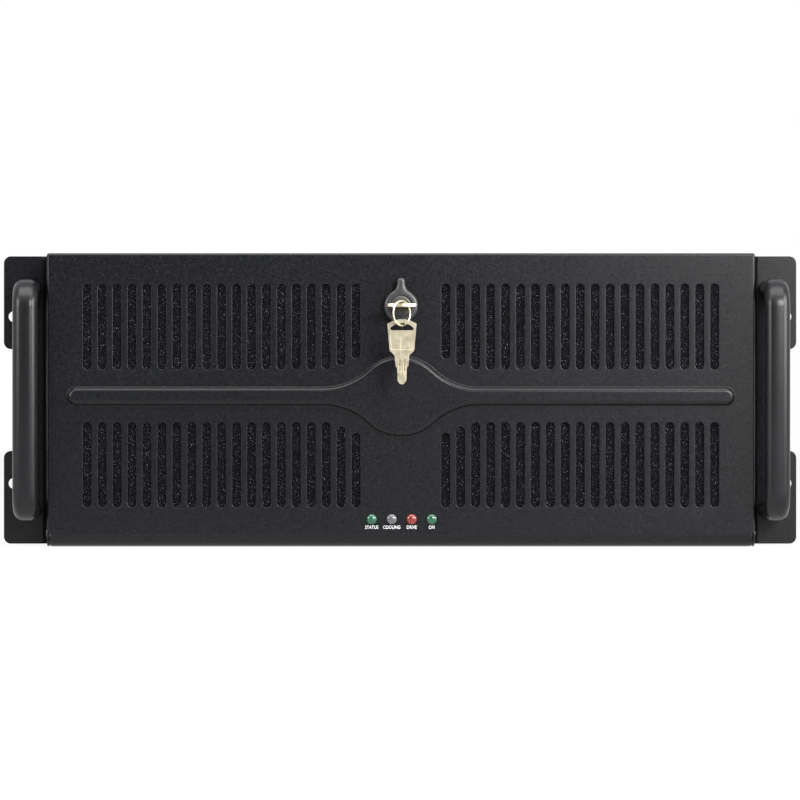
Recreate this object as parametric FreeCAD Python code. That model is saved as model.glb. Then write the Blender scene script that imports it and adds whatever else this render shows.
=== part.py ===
import FreeCAD, Part
import math
import os

from FreeCAD import Vector

# Rackmount server case, four rack units high, with a filter door that locks.
#
# Millimetres. +X is to the right of someone facing the door, +Y runs back into the
# rack and +Z is up. The origin is the centre of the four rack slots, on the plane
# where the ears meet the rack's posts.

# ---------------------------------------------------------------- rack standard
rack_width = 482.6
rack_unit = 44.45
unit_count = 4
rack_end_gap = 0.4         # room between the case and the end of its rack units
rack_slot_inset = 8.75     # middle of a rack slot from the ear's outer edge
rack_slot_row_inset = 38.1   # row of rack slots from the end of the rack units
rack_slot_length = 12.0
rack_slot_width = 6.6

# ---------------------------------------------------------------- body
case_depth = 450.0
sheet = 1.2
fold_depth = 12.0          # how far the front and rear plates' edges are folded in
lid_lip = 10.0             # inward lip that carries the top cover
fold_radius = 1.6          # outside radius of a folded sheet edge

# ---------------------------------------------------------------- rack ears
ear_sheet = 2.0
ear_flange_width = 26.3    # ear's reach beyond the case's side
ear_end_gap = 1.0          # ear's ends from the case's top and bottom
ear_bend_radius = 1.8
ear_corner_radius = 4.3
ear_recess_height = 62.0
ear_recess_depth = 14.0
ear_leaf_depth = 60.0

# ---------------------------------------------------------------- handles
handle_end_margin = 14.75  # handle's ends from the ear's ends
handle_inset = 15.7        # middle of the handle from the ear's outer edge
handle_reach = 40.0
handle_width = 15.2
handle_thickness = 11.4
handle_bend_radius = 11.0
handle_end_faces = 6       # flat faces round each end of the handle's oval section
handle_bolt_radius = 2.5
handle_bolt_depth = 12.0
handle_bolt_head_radius = 4.6
handle_bolt_head_height = 3.2

# ---------------------------------------------------------------- door
door_side_gap = 1.5        # door's side inside the case's side
door_stand_off = 24.0      # door face in front of the ears' front
door_sheet = 1.2
door_flange_depth = 20.0
door_bottom_flange_depth = 16.0
door_roll_radius = 8.0
door_slit_width = 1.0
door_slit_height = 8.5
hinge_pin_radius = 2.0
hinge_lug_sheet = 2.0
hinge_lug_radius = 5.0
hinge_arm_height = 8.5
hinge_foot_width = 18.0
hinge_foot_height = 19.0
hinge_arm_gap = 0.5        # between the hinge's middle and the underside of its arm
running_gap = 0.05         # radial gap of a shaft that turns in a hole
hinge_side_gap = 0.8       # between a hinge lug and the door's side flange
end_gap = 0.3              # gap between faces that turn or slide past each other

# ventilation slots of the door
slots_per_group = 19
slot_first = 27.0
slot_side_margin = 24.5          # middle of the outermost slot from the door's side
slot_width = 5.1
slot_end_faces = 4               # flat faces round each slot's half-round end
slot_top_margin = 18.5
slot_bottom_margin = 23.7
slot_above_bar = 16.1            # upper slots from the middle of the embossed bar
slot_below_bar = 15.6
slot_top_steps = (6.6, 2.5)      # how much the innermost slots are shortened
slot_bottom_steps = (6.5, 2.7)

# embossed bar with a lens-shaped middle
emboss_z = 2.2
emboss_height = 3.0
emboss_edge = 1.8
bar_half_height = 5.5
bar_end_margin = 12.5
lens_half_height = 24.2
lens_reach = 47.0
lens_crown_radius = 29.0

# ---------------------------------------------------------------- air filter
foam_thickness = 5.0
foam_margin = 6.0
frame_sheet = 1.0
frame_border = 8.0
frame_bar = 5.0

# ---------------------------------------------------------------- indicator lamps
lamp_names = ("status_lamp", "cooling_lamp", "drive_lamp", "power_lamp")
lamp_pitch = 12.05
lamp_middle_x = 0.5
lamp_rise = 16.7
lamp_lens_radius = 3.1
lamp_lens_height = 2.4
lamp_barrel_radius = 2.4
lamp_barrel_length = 8.0
lamp_hole_radius = 2.5
board_sheet = 1.6
lamp_board_height = 10.0
lamp_board_margin = 8.0
post_radius = 2.0

# ---------------------------------------------------------------- lock and keys
lock_drop = 32.1           # middle of the lock below the top of the case
lock_hole_radius = 9.5
housing_length = 12.4      # barrel of the lock housing behind the door's face
housing_rim = 1.0
housing_rim_radius = 10.0
lock_nut_across_flats = 24.0
lock_nut_height = 4.0
knob_radius = 10.2
knob_height = 6.7
knob_edge = 1.2
knob_tab_reach = 17.0
knob_tab_width = 4.6
knob_tab_fillet = 6.0
knob_ring_radius = 6.95
knob_ring_depth = 0.8
spindle_radius = 7.4
plug_radius = 6.15
plug_stand_out = 0.4
plug_length = 18.2
keyway_gap = 0.15
cam_sheet = 1.6
cam_width = 12.0
cam_reach = 27.0
cam_tail = 8.0
cam_screw_radius = 2.0
cam_screw_head_radius = 4.0
cam_screw_head_height = 2.4
cam_screw_depth = 3.0
keeper_width = 24.0
keeper_lip = 7.2
keeper_foot = 14.0
keeper_gap = 0.6           # between the cam's tip and the keeper's web
keeper_lip_gap = 2.0       # between the cam's face and the keeper's lip

key_thickness = 1.9
key_bow_width = 17.2
key_bow_end_width = 14.0
key_bow_length = 21.0
key_crown = 3.3
key_bar = 2.2
key_hole_width = 13.4
key_hole_height = 4.4
key_neck_width = 8.2
key_neck_length = 4.0
key_blade_width = 7.4
key_tip_width = 5.4
key_tip_length = 7.6
key_length = 38.6
key_recess = 0.25
key_rim = 1.4
key_band = 2.6
key_groove_width = 0.9
key_groove_depth = 0.5
key_stop_gap = 1.6         # between the key's bow and the plug's face
ring_radius = 8.0
ring_wire = 1.4
ring_turn = 45.0
ring_hang_gap = 0.75       # room in the ring above the key's bar
spare_hang_gap = 0.8

# ---------------------------------------------------------------- drive bays
bay_side_margin = 15.3
bay_width = 148.5
bay_count = 3
bay_stack_foot = 36.5      # lowest wide bay above the bottom of the case
bay_stack_head = 13.3
bay_depth = 170.0
bay_screw_slot = (12.0, 3.4)
bay_screw_shares = (0.35, 0.8)   # places of the screw slots along a cage
small_bay_width = 102.0
small_bay_height = 25.6
small_bay_depth = 150.0
cover_stand_out = 2.0
cover_wall = 2.0
cover_edge = 0.8
cover_gap = 0.4
cover_arm_depth = 24.0

# ---------------------------------------------------------------- front controls
control_gap = 58.0         # middle of the controls from the bays
power_button_radius = 7.0
power_button_z = 24.0
reset_button_radius = 4.0
reset_button_z = 2.0
button_stand_out = 3.0
button_travel = 2.5
button_collar = 1.2
button_length = 9.0
switch_size = 6.0
switch_height = 4.0
switch_board_width = 26.0
usb_z = -32.0
usb_pitch = 10.0
usb_shell = (14.5, 7.1)
usb_mouth = (12.5, 5.1)
usb_depth = 14.0
usb_tongue = (11.0, 1.9)

# ---------------------------------------------------------------- fans
fan_depth = 25.0
front_fan_size = 120.0
front_fan_margin = 23.8
front_fan_z = 0.0
front_fan_blades = 7
rear_fan_size = 80.0
rear_fan_gap = 3.0
rear_fan_psu_gap = 4.0
rear_fan_drop = 62.5
rear_fan_blades = 7
fan_wall = 2.4
fan_tip_gap = 1.4
fan_shaft_radius = 3.0
fan_strut = 5.0
fan_base = 3.5
fan_blade_sheet = 1.8
fan_blade_pitch = 38.0
fan_blade_root_share = 0.8
fan_blade_start = 0.9      # where a blade starts, in parts of the hub's radius
fan_hub_share = 0.34       # hub's width in parts of the fan's width
fan_hub_faces = 2          # flat faces of the hub to each blade
fan_corner = 3.0
vent_rows = 8
vent_web = 3.0

# ---------------------------------------------------------------- rear panel
rear_foot = 8.5            # rear openings above the bottom of the case
io_width = 158.75
io_height = 44.45
io_psu_gap = 8.0
psu_width = 86.0
psu_side_margin = 9.8
psu_head_margin = 18.5
card_count = 7
card_io_gap = 4.09
card_side_margin = 22.81
card_opening_gap = 7.12    # between two card openings
card_opening_height = 104.0
card_cover_gap = 1.92
card_cover_sheet = 1.0
card_cover_lap = 5.0
card_tab_depth = 11.0
card_rail_height = 14.0

# ---------------------------------------------------------------- inside
bar_rear_gap = 203.0
bar_depth = 18.0
bar_height = 26.0
bar_top_gap = 9.0
stand_off_height = 6.4
stand_off_across_flats = 5.0
stand_off_columns = (-69.25, 53.75, 134.75)   # from the connector opening's side
stand_off_rows = (173.0, 93.0, 18.0)          # from the rear

# ---------------------------------------------------------------- top cover
cover_flange_height = 14.0
rail_inset = 12.0
rail_gap = 0.4
rail_foot = 8.0
thumbscrew_inset = 25.0
thumbscrew_radius = 5.5
thumbscrew_height = 8.0
thumbscrew_shank_radius = 1.9
thumbscrew_shank = 6.0

touch = 0.1                # how near a face an edge's box lies when it is on it

# ---------------------------------------------------------------- worked out
case_width = rack_width - 2 * ear_flange_width
case_height = unit_count * rack_unit - 2 * rack_end_gap
rack_slot_spacing_x = rack_width - 2 * rack_slot_inset
rack_slot_spacing_z = unit_count * rack_unit - 2 * rack_slot_row_inset
case_bottom = -case_height / 2
case_top = case_height / 2
case_side = case_width / 2
body_front = -ear_sheet
body_rear = body_front + case_depth
plate_back = body_front + sheet            # inner face of the front plate
rear_inner = body_rear - sheet             # inner face of the rear plate
floor = case_bottom + sheet
lid_under = case_top - sheet
inner_side = case_side - sheet
thumbscrew_x = case_side - thumbscrew_inset

ear_height = case_height - 2 * ear_end_gap
handle_height = ear_height - 2 * handle_end_margin
handle_offset = rack_width / 2 - handle_inset

door_width = case_width - 2 * door_side_gap
door_face = body_front - door_stand_off
door_inner = door_face + door_sheet
door_back = door_face + door_flange_depth
door_side = door_width / 2
hinge_y = door_face + door_roll_radius
hinge_z = case_bottom + door_roll_radius
lug_outer = door_side - door_sheet - hinge_side_gap
lug_inner = lug_outer - hinge_lug_sheet
slot_last = door_side - slot_side_margin
slot_pitch = (slot_last - slot_first) / (slots_per_group - 1)
slot_top_row = (emboss_z + slot_above_bar, case_top - slot_top_margin)
slot_bottom_row = (case_bottom + slot_bottom_margin, emboss_z - slot_below_bar)
bar_reach = door_side - bar_end_margin
lamp_z = case_bottom + lamp_rise
lock_z = case_top - lock_drop

knob_back = door_face - housing_rim - end_gap
knob_front = knob_back - knob_height
plug_front = knob_front - plug_stand_out
plug_back = plug_front + plug_length
spindle_back = door_inner + housing_length + end_gap
cam_back = spindle_back + cam_sheet
key_front = plug_front - key_stop_gap - key_bow_length
ring_middle_radius = ring_radius - ring_wire / 2
ring_hole_radius = ring_radius - ring_wire
ring_y = key_front + key_bar / 2
ring_z = lock_z + key_thickness / 2 + ring_hang_gap - ring_hole_radius
spare_top = ring_z - ring_hole_radius + key_bar + spare_hang_gap

bay_right = inner_side - bay_side_margin
bay_left = bay_right - bay_width
bay_middle_x = (bay_left + bay_right) / 2
bay_stack_bottom = case_bottom + bay_stack_foot
bay_stack_top = case_top - bay_stack_head
bay_height = (bay_stack_top - bay_stack_bottom) / bay_count
small_bay_middle_z = (floor + bay_stack_bottom - sheet) / 2
control_x = bay_left - control_gap

psu_left = inner_side - psu_side_margin - psu_width
psu_bottom = case_bottom + rear_foot
psu_height = case_height - rear_foot - psu_head_margin
io_left = psu_left - io_psu_gap - io_width
io_bottom = case_bottom + rear_foot
io_top = io_bottom + io_height
card_pitch = (inner_side + io_left - card_side_margin) / card_count
card_first_x = io_left - card_io_gap - card_pitch / 2
card_opening_width = card_pitch - card_opening_gap
card_cover_width = card_pitch - card_cover_gap
card_bottom = io_bottom
card_top = card_bottom + card_opening_height
card_tab_z = card_top + card_cover_lap
stand_off_x = [io_left + column for column in stand_off_columns]
stand_off_y = [body_rear - row for row in stand_off_rows]
bar_y = body_rear - bar_rear_gap

front_fan_x = front_fan_margin + front_fan_size / 2 - inner_side
rear_fan_right = psu_left - rear_fan_psu_gap - rear_fan_size / 2
rear_fan_x = (rear_fan_right - rear_fan_size - rear_fan_gap, rear_fan_right)
rear_fan_z = case_top - rear_fan_drop

nodes = {}


# ---------------------------------------------------------------- building blocks
def block(x, y, z):
    """A box from two limits on each axis."""
    size = (x[1] - x[0], y[1] - y[0], z[1] - z[0])
    return Part.makeBox(size[0], size[1], size[2], Vector(x[0], y[0], z[0]))


def rod(axis, radius, centre, start, end):
    """A cylinder along one axis; centre holds the two other coordinates in X, Y, Z order."""
    base = {"x": Vector(start, centre[0], centre[1]),
            "y": Vector(centre[0], start, centre[1]),
            "z": Vector(centre[0], centre[1], start)}[axis]
    along = {"x": Vector(1, 0, 0), "y": Vector(0, 1, 0), "z": Vector(0, 0, 1)}[axis]
    return Part.makeCylinder(radius, end - start, base, along)


def arc(centre, radius, start, end, y=0.0):
    """An arc in the XZ plane at depth y, between two angles in degrees from +X."""
    def at(angle):
        turn = math.radians(angle)
        return Vector(centre[0] + radius * math.cos(turn), y, centre[1] + radius * math.sin(turn))
    return Part.Arc(at(start), at((start + end) / 2), at(end)).toShape()


def line(start, end, y=0.0):
    """A straight edge in the XZ plane at depth y."""
    return Part.LineSegment(Vector(start[0], y, start[1]), Vector(end[0], y, end[1])).toShape()


def closed_wire(edges):
    """One closed wire from edges given in any order."""
    return Part.Wire(Part.__sortEdges__(edges))


def prism_y(edges, start, end):
    """The outline in edges, drawn in the XZ plane, drawn out from start to end along Y."""
    face = Part.Face(closed_wire(edges))
    face.translate(Vector(0, start - face.BoundBox.YMin, 0))
    return face.extrude(Vector(0, end - start, 0))


def polygon_prism(points, axis, start, end):
    """A polygon drawn out along an axis; the points hold the two other coordinates."""
    place = {"x": lambda a, b: Vector(start, a, b),
             "y": lambda a, b: Vector(a, start, b),
             "z": lambda a, b: Vector(a, b, start)}[axis]
    along = {"x": Vector(1, 0, 0), "y": Vector(0, 1, 0), "z": Vector(0, 0, 1)}[axis]
    corners = [place(a, b) for a, b in points]
    face = Part.Face(Part.makePolygon(corners + corners[:1]))
    return face.extrude(along * (end - start))


def slot_outline(middle, length, width):
    """Edges of a level round-ended slot in the XZ plane."""
    radius = width / 2
    reach = length / 2 - radius
    x, z = middle
    return [line((x - reach, z + radius), (x + reach, z + radius)),
            arc((x + reach, z), radius, 90, -90),
            line((x + reach, z - radius), (x - reach, z - radius)),
            arc((x - reach, z), radius, -90, -270)]


def faced_stadium(middle, length, width, faces):
    """Corners of a stadium shape, long the second way, with a few flat faces round each end."""
    radius = width / 2
    reach = length / 2 - radius
    turns = [math.pi * i / faces for i in range(faces + 1)]
    upper = [(radius * math.cos(t), reach + radius * math.sin(t)) for t in turns]
    corners = upper + [(-x, -z) for x, z in upper]
    return [(middle[0] + x, middle[1] + z) for x, z in corners]


def edges_where(solid, test):
    """The solid's straight and round edges for which the test of the edge's box holds."""
    return [edge for edge in solid.Edges if test(edge.BoundBox)]


def along(axis):
    """A test for edges that run along one axis only."""
    def test(box):
        lengths = {"x": box.XLength, "y": box.YLength, "z": box.ZLength}
        return all((length > touch) == (name == axis) for name, length in lengths.items())
    return test


def polygon(sides, across_flats, middle):
    """The corners of a regular polygon around a middle point."""
    radius = across_flats / 2 / math.cos(math.pi / sides)
    turns = [2 * math.pi * i / sides for i in range(sides)]
    return [(middle[0] + radius * math.cos(t), middle[1] + radius * math.sin(t)) for t in turns]


def mirrored(solid):
    """The same solid on the other side of the case."""
    return solid.mirror(Vector(0, 0, 0), Vector(1, 0, 0))


def open_box(x, y, z, wall, open_side):
    """A folded sheet box with one open side along Y."""
    near = y[0] if open_side == "back" else y[0] - wall
    far = y[1] + wall if open_side == "back" else y[1]
    inside = block((x[0] + wall, x[1] - wall),
                   (near + wall, far) if open_side == "back" else (near, far - wall),
                   (z[0] + wall, z[1] - wall))
    return block(x, y, z).cut(inside)


def keep(name, solid):
    """Take a finished piece into the model under its name."""
    nodes[name] = solid.removeSplitter()


# ---------------------------------------------------------------- body sheets
def make_base_tray():
    """Floor and both sides in one folded sheet, with lips for the top cover."""
    shell = block((-case_side, case_side), (body_front, body_rear), (case_bottom, lid_under))
    room = block((-inner_side, inner_side), (body_front, body_rear), (floor, lid_under))
    tray = shell.cut(room)
    for side in (-1, 1):
        lip_x = sorted((side * inner_side, side * (case_side - lid_lip)))
        lip_y = (body_front + fold_depth + end_gap, body_rear - fold_depth - end_gap)
        tray = tray.fuse(block(lip_x, lip_y, (lid_under - sheet, lid_under)))
    tray = tray.removeSplitter()

    def is_bottom_fold(box):
        return along("y")(box) and box.ZMax < case_bottom + sheet / 2
    tray = tray.makeFillet(fold_radius, edges_where(tray, is_bottom_fold))
    keep("base_tray", tray)


def fan_vent(size, middle, start, end):
    """Rows of straight slots that fill a fan's round mouth."""
    reach = size / 2 - fan_wall
    pitch = 2 * reach / vent_rows
    rows = []
    for row in range(vent_rows):
        z = (row + 0.5) * pitch - reach
        far = math.sqrt(reach ** 2 - z ** 2)
        for side in (-1, 1):
            x = sorted((middle[0] + side * vent_web / 2, middle[0] + side * far))
            z_limits = (middle[1] + z - pitch / 2 + vent_web / 2, middle[1] + z + pitch / 2 - vent_web / 2)
            rows.append(block(x, (start, end), z_limits))
    return rows


def make_front_plate():
    """Front wall of the body behind the door, with bays, fan vent and controls."""
    plate = open_box((-inner_side, inner_side), (body_front, body_front + fold_depth),
                     (floor, lid_under), sheet, "back")
    through = (body_front - sheet, plate_back + sheet)
    cuts = [block((bay_left, bay_right), through, (bay_stack_bottom, bay_stack_top))]
    half_small = small_bay_width / 2
    small_z = (small_bay_middle_z - small_bay_height / 2, small_bay_middle_z + small_bay_height / 2)
    cuts.append(block((bay_middle_x - half_small, bay_middle_x + half_small), through, small_z))
    cuts += fan_vent(front_fan_size, (front_fan_x, front_fan_z), *through)
    for radius, z in ((power_button_radius, power_button_z), (reset_button_radius, reset_button_z)):
        cuts.append(rod("y", radius + end_gap, (control_x, z), *through))
    for x, z in usb_places():
        cuts.append(block((x - usb_shell[0] / 2, x + usb_shell[0] / 2), through,
                          (z - usb_shell[1] / 2, z + usb_shell[1] / 2)))
    keep("front_plate", plate.cut(cuts))


def card_x(number):
    """Middle of an expansion card opening, counted from the connector panel."""
    return card_first_x - number * card_pitch


def make_rear_plate():
    """Rear wall with power supply, connector, card and fan openings."""
    plate = open_box((-inner_side, inner_side), (body_rear - fold_depth, body_rear),
                     (floor, lid_under), sheet, "front")
    through = (rear_inner - sheet, body_rear + sheet)
    cuts = [block((psu_left, psu_left + psu_width), through, (psu_bottom, psu_bottom + psu_height)),
            block((io_left, io_left + io_width), through, (io_bottom, io_top))]
    for number in range(card_count):
        x = card_x(number)
        half = card_opening_width / 2
        cuts.append(block((x - half, x + half), through, (card_bottom, card_top)))
    for x in rear_fan_x:
        cuts += fan_vent(rear_fan_size, (x, rear_fan_z), *through)
    rail_z = lid_under - sheet - 2 * rail_gap - sheet
    for side in (-1, 1):
        rail_x = sorted((side * (case_side - rail_inset - rail_gap - sheet),
                         side * (case_side - rail_inset + rail_foot + rail_gap)))
        whole_fold = (body_rear - fold_depth - sheet, body_rear + sheet)
        cuts.append(block(rail_x, whole_fold, (rail_z - rail_gap, lid_under + sheet)))
        shank = thumbscrew_shank_radius + end_gap
        cuts.append(rod("y", shank, (side * thumbscrew_x, thumbscrew_z()), *through))
    keep("rear_plate", plate.cut(cuts))


def thumbscrew_z():
    """Height of the thumbscrews, in the middle of the top cover's rear flange."""
    return case_top - cover_flange_height / 2


def make_top_cover():
    """Top cover that slides off to the rear on two folded rails."""
    cover = block((-case_side, case_side), (body_front, body_rear + sheet), (lid_under, case_top))
    flange = block((-case_side, case_side), (body_rear, body_rear + sheet),
                   (case_top - cover_flange_height, case_top))
    rails = []
    rail_y = (body_front + fold_depth + 2 * end_gap, body_rear - fold_depth)
    foot_top = lid_under - sheet - rail_gap
    for side in (-1, 1):
        leg = case_side - rail_inset
        rails.append(block(sorted((side * leg, side * (leg - sheet))), rail_y,
                           (foot_top - sheet, lid_under)))
        rails.append(block(sorted((side * leg, side * (leg + rail_foot))), rail_y,
                           (foot_top - sheet, foot_top)))
    cover = cover.multiFuse([flange] + rails).removeSplitter()

    def is_rear_fold(box):
        return along("x")(box) and box.ZMin > case_top - sheet / 2 and box.YMin > body_rear
    cover = cover.makeFillet(fold_radius, edges_where(cover, is_rear_fold))
    holes = [rod("y", thumbscrew_shank_radius, (side * thumbscrew_x, thumbscrew_z()),
                 rear_inner, body_rear + 2 * sheet) for side in (-1, 1)]
    keep("top_cover", cover.cut(holes))
    screws = []
    for side in (-1, 1):
        middle = (side * thumbscrew_x, thumbscrew_z())
        head_start = body_rear + sheet
        head = rod("y", thumbscrew_radius, middle, head_start, head_start + thumbscrew_height)
        shank = rod("y", thumbscrew_shank_radius, middle, head_start - thumbscrew_shank, head_start)
        screws.append(head.fuse(shank))
    keep("thumbscrews", Part.makeCompound(screws))


# ---------------------------------------------------------------- ears and handles
def make_ear():
    """Right rack ear: an angle with a slotted front flange and a leaf along the case side."""
    outer = rack_width / 2
    half = ear_height / 2
    flange = block((case_side, outer), (body_front, 0), (-half, half))
    recess = block((outer - ear_recess_depth, outer + ear_sheet), (body_front, 0),
                   (-ear_recess_height / 2, ear_recess_height / 2))
    flange = flange.cut(recess)

    def is_outer_corner(box):
        return along("y")(box) and box.XMin > case_side + ear_sheet
    flange = flange.makeFillet(ear_corner_radius, edges_where(flange, is_outer_corner))
    leaf = block((case_side, case_side + ear_sheet), (body_front, ear_leaf_depth), (-half, half))
    ear = flange.fuse(leaf).removeSplitter()

    def is_bend(box):
        return along("z")(box) and box.YMax < body_front + ear_sheet / 2 and box.XMax < case_side + ear_sheet / 2
    ear = ear.makeFillet(ear_bend_radius, edges_where(ear, is_bend))
    through = (body_front - ear_sheet, ear_sheet)
    cuts = []
    for z in (-rack_slot_spacing_z / 2, rack_slot_spacing_z / 2):
        middle = (rack_slot_spacing_x / 2, z)
        cuts.append(prism_y(slot_outline(middle, rack_slot_length, rack_slot_width), *through))
    for z in handle_bolt_places():
        cuts.append(rod("y", handle_bolt_radius + end_gap, (handle_offset, z), *through))
    return ear.cut(cuts)


def handle_bolt_places():
    """Heights of a handle's two bolts, in the middle of its legs."""
    height = handle_height / 2 - handle_thickness / 2
    return (-height, height)


def make_handle():
    """Right handle: an oval bar bent twice, tapped for a bolt in each leg."""
    leg = handle_height / 2 - handle_thickness / 2
    grip = body_front - handle_reach + handle_thickness / 2
    bend = handle_bend_radius
    x = handle_offset
    oval = faced_stadium((0, 0), handle_width, handle_thickness, handle_end_faces)
    corners = [Vector(x + long_way, body_front, leg + short_way) for short_way, long_way in oval]
    section = Part.Face(Part.makePolygon(corners + corners[:1]))
    handle = section.extrude(Vector(0, grip + bend - body_front, 0))
    section.translate(Vector(0, grip + bend - body_front, 0))
    handle = handle.fuse(section.revolve(Vector(x, grip + bend, leg - bend), Vector(1, 0, 0), 90))
    handle = handle.fuse(handle.mirror(Vector(0, 0, 0), Vector(0, 0, 1)))
    section.rotate(Vector(x, grip + bend, leg - bend), Vector(1, 0, 0), 90)
    handle = handle.fuse(section.extrude(Vector(0, 0, 2 * (bend - leg))))
    bores = [rod("y", handle_bolt_radius, (x, z), body_front - handle_bolt_depth, body_front)
             for z in handle_bolt_places()]
    return handle.cut(bores)


def make_handle_bolts():
    """Hexagon bolts that hold the handles from behind the ears."""
    bolts = []
    for x in (-handle_offset, handle_offset):
        for z in handle_bolt_places():
            head = polygon_prism(polygon(6, 2 * handle_bolt_head_radius, (x, z)), "y",
                                 0, handle_bolt_head_height)
            shank = rod("y", handle_bolt_radius, (x, z), body_front - handle_bolt_depth, 0)
            bolts.append(head.fuse(shank))
    keep("handle_bolts", Part.makeCompound(bolts))


# ---------------------------------------------------------------- door
def emboss_outline(grow):
    """Edges of the bar with its lens-shaped middle; grow moves the outline outwards."""
    rise = lens_half_height - bar_half_height
    turn = 2 * math.atan(rise / lens_reach)
    sway_radius = lens_reach / math.sin(turn) - lens_crown_radius
    degrees = math.degrees(turn)
    end = bar_reach - bar_half_height
    edge = bar_half_height + grow
    edges = []
    for side in (-1, 1):
        edges.append(arc((side * end, emboss_z), edge, 90, 90 - side * 180))
    for up in (-1, 1):
        crown = (0, emboss_z + up * (lens_half_height - lens_crown_radius))
        edges.append(arc(crown, lens_crown_radius + grow, up * 90 - degrees, up * 90 + degrees))
        for side in (-1, 1):
            sway = (side * lens_reach, emboss_z + up * (bar_half_height + sway_radius))
            foot = -90 * up
            edges.append(arc(sway, sway_radius - grow, foot, foot - up * side * degrees))
            height = emboss_z + up * edge
            edges.append(line((side * lens_reach, height), (side * end, height)))
    return edges


def folded_door(inset):
    """The door's rounded block, or with an inset the room inside its sheet."""
    front = door_face + inset
    low = case_bottom + inset
    high = case_top - inset
    side = door_side - inset
    roll = door_roll_radius - inset
    fold = fold_radius - inset if inset < fold_radius else fold_radius / 4
    upright = block((-side, side), (front, door_back), (low, high))

    def is_roll(box):
        return along("x")(box) and box.YMax < front + touch and box.ZMax < 0
    rolled = upright.makeFillet(roll, edges_where(upright, is_roll))

    def is_side_or_top(box):
        is_top = along("x")(box) and box.ZMin > 0
        return box.YMax < front + touch and (along("z")(box) or is_top)
    folded = upright.makeFillet(fold, edges_where(upright, is_side_or_top))
    return rolled.common(folded)


def slot_ends(number):
    """Lower and upper ends of the two slots at one place, shortened round the lens."""
    top_start, top_end = slot_top_row
    bottom_start, bottom_end = slot_bottom_row
    if number < len(slot_top_steps):
        top_start += slot_top_steps[number]
        bottom_end -= slot_bottom_steps[number]
    return ((top_start, top_end), (bottom_start, bottom_end))


def make_door_panel():
    """Pressed and folded door sheet: slots, embossed bar, rolled bottom edge."""
    panel = folded_door(0).cut(folded_door(door_sheet))
    raised = prism_y(emboss_outline(0), door_face - emboss_height, door_inner)

    def is_crest(box):
        return box.YMax < door_face - emboss_height + touch
    raised = raised.makeChamfer(emboss_edge, edges_where(raised, is_crest))
    hollow = prism_y(emboss_outline(-door_sheet), door_face - emboss_height + door_sheet, door_inner)
    panel = panel.fuse(raised).cut(hollow)

    through = (door_face - door_sheet, door_inner + door_sheet)
    cuts = []
    for number in range(slots_per_group):
        x = slot_first + number * slot_pitch
        for low, high in slot_ends(number):
            for side in (-1, 1):
                middle = (side * x, (low + high) / 2)
                corners = faced_stadium(middle, high - low, slot_width, slot_end_faces)
                cuts.append(polygon_prism(corners, "y", *through))
    cuts.append(rod("y", lock_hole_radius, (0, lock_z), *through))
    for x in lamp_places():
        cuts.append(rod("y", lamp_hole_radius, (x, lamp_z), *through))
    below = (case_bottom - door_sheet, case_bottom + door_slit_height)
    flange_end = door_face + door_bottom_flange_depth
    arm_side = lug_inner - 2 * hinge_lug_sheet
    for side in (-1, 1):
        slit = sorted((side * (door_side - door_sheet), side * (door_side - door_sheet - door_slit_width)))
        cuts.append(block(slit, (door_face - door_sheet, door_back), below))
        notch = sorted((side * arm_side, side * (door_side - door_sheet)))
        cuts.append(block(notch, (hinge_y, door_back), (below[0], case_bottom + 2 * door_sheet)))
        cuts.append(rod("x", hinge_pin_radius + running_gap, (hinge_y, hinge_z),
                        *sorted((side * lug_outer, side * (door_side + door_sheet)))))
    cuts.append(block((-door_side + door_sheet, door_side - door_sheet), (flange_end, door_back),
                      (below[0], case_bottom + 2 * door_sheet)))
    keep("door_panel", panel.cut(cuts))


def filter_limits():
    """The foam's limits across and up one side of the door."""
    across = (slot_first - slot_width / 2 - foam_margin, slot_last + slot_width / 2 + foam_margin)
    up = (slot_bottom_row[0] - foam_margin / 2, slot_top_row[1] + foam_margin / 2)
    return across, up


def make_filter(side):
    """Foam pad behind one half of the slots and the sheet frame that clamps it."""
    across, up = filter_limits()
    x = sorted((side * across[0], side * across[1]))
    foam_back = door_inner + foam_thickness
    foam = block(x, (door_inner, foam_back), up)
    frame_y = (foam_back, foam_back + frame_sheet)
    frame = block(x, frame_y, up)
    middle = (x[0] + x[1]) / 2
    height = (up[0] + up[1]) / 2
    for left, right in ((x[0] + frame_border, middle - frame_bar / 2),
                        (middle + frame_bar / 2, x[1] - frame_border)):
        for low, high in ((up[0] + frame_border, height - frame_bar / 2),
                          (height + frame_bar / 2, up[1] - frame_border)):
            frame = frame.cut(block((left, right), frame_y, (low, high)))
    for z in (up[0] - frame_border, up[1]):
        for place in (x[0] + 2 * frame_border, middle, x[1] - 2 * frame_border):
            tab_x = (place - frame_border / 2, place + frame_border / 2)
            foot = block(tab_x, (door_inner, door_inner + frame_sheet), (z, z + frame_border))
            edge = z + frame_border - frame_sheet if z < 0 else z
            riser = block(tab_x, (door_inner, foam_back + frame_sheet), (edge, edge + frame_sheet))
            frame = frame.fuse(foot).fuse(riser)
    name = "left" if side < 0 else "right"
    keep("filter_foam_" + name, foam)
    keep("filter_frame_" + name, frame)


def lamp_places():
    """X of the four indicator lamps, left to right."""
    first = lamp_middle_x - lamp_pitch * (len(lamp_names) - 1) / 2
    return [first + i * lamp_pitch for i in range(len(lamp_names))]


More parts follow.
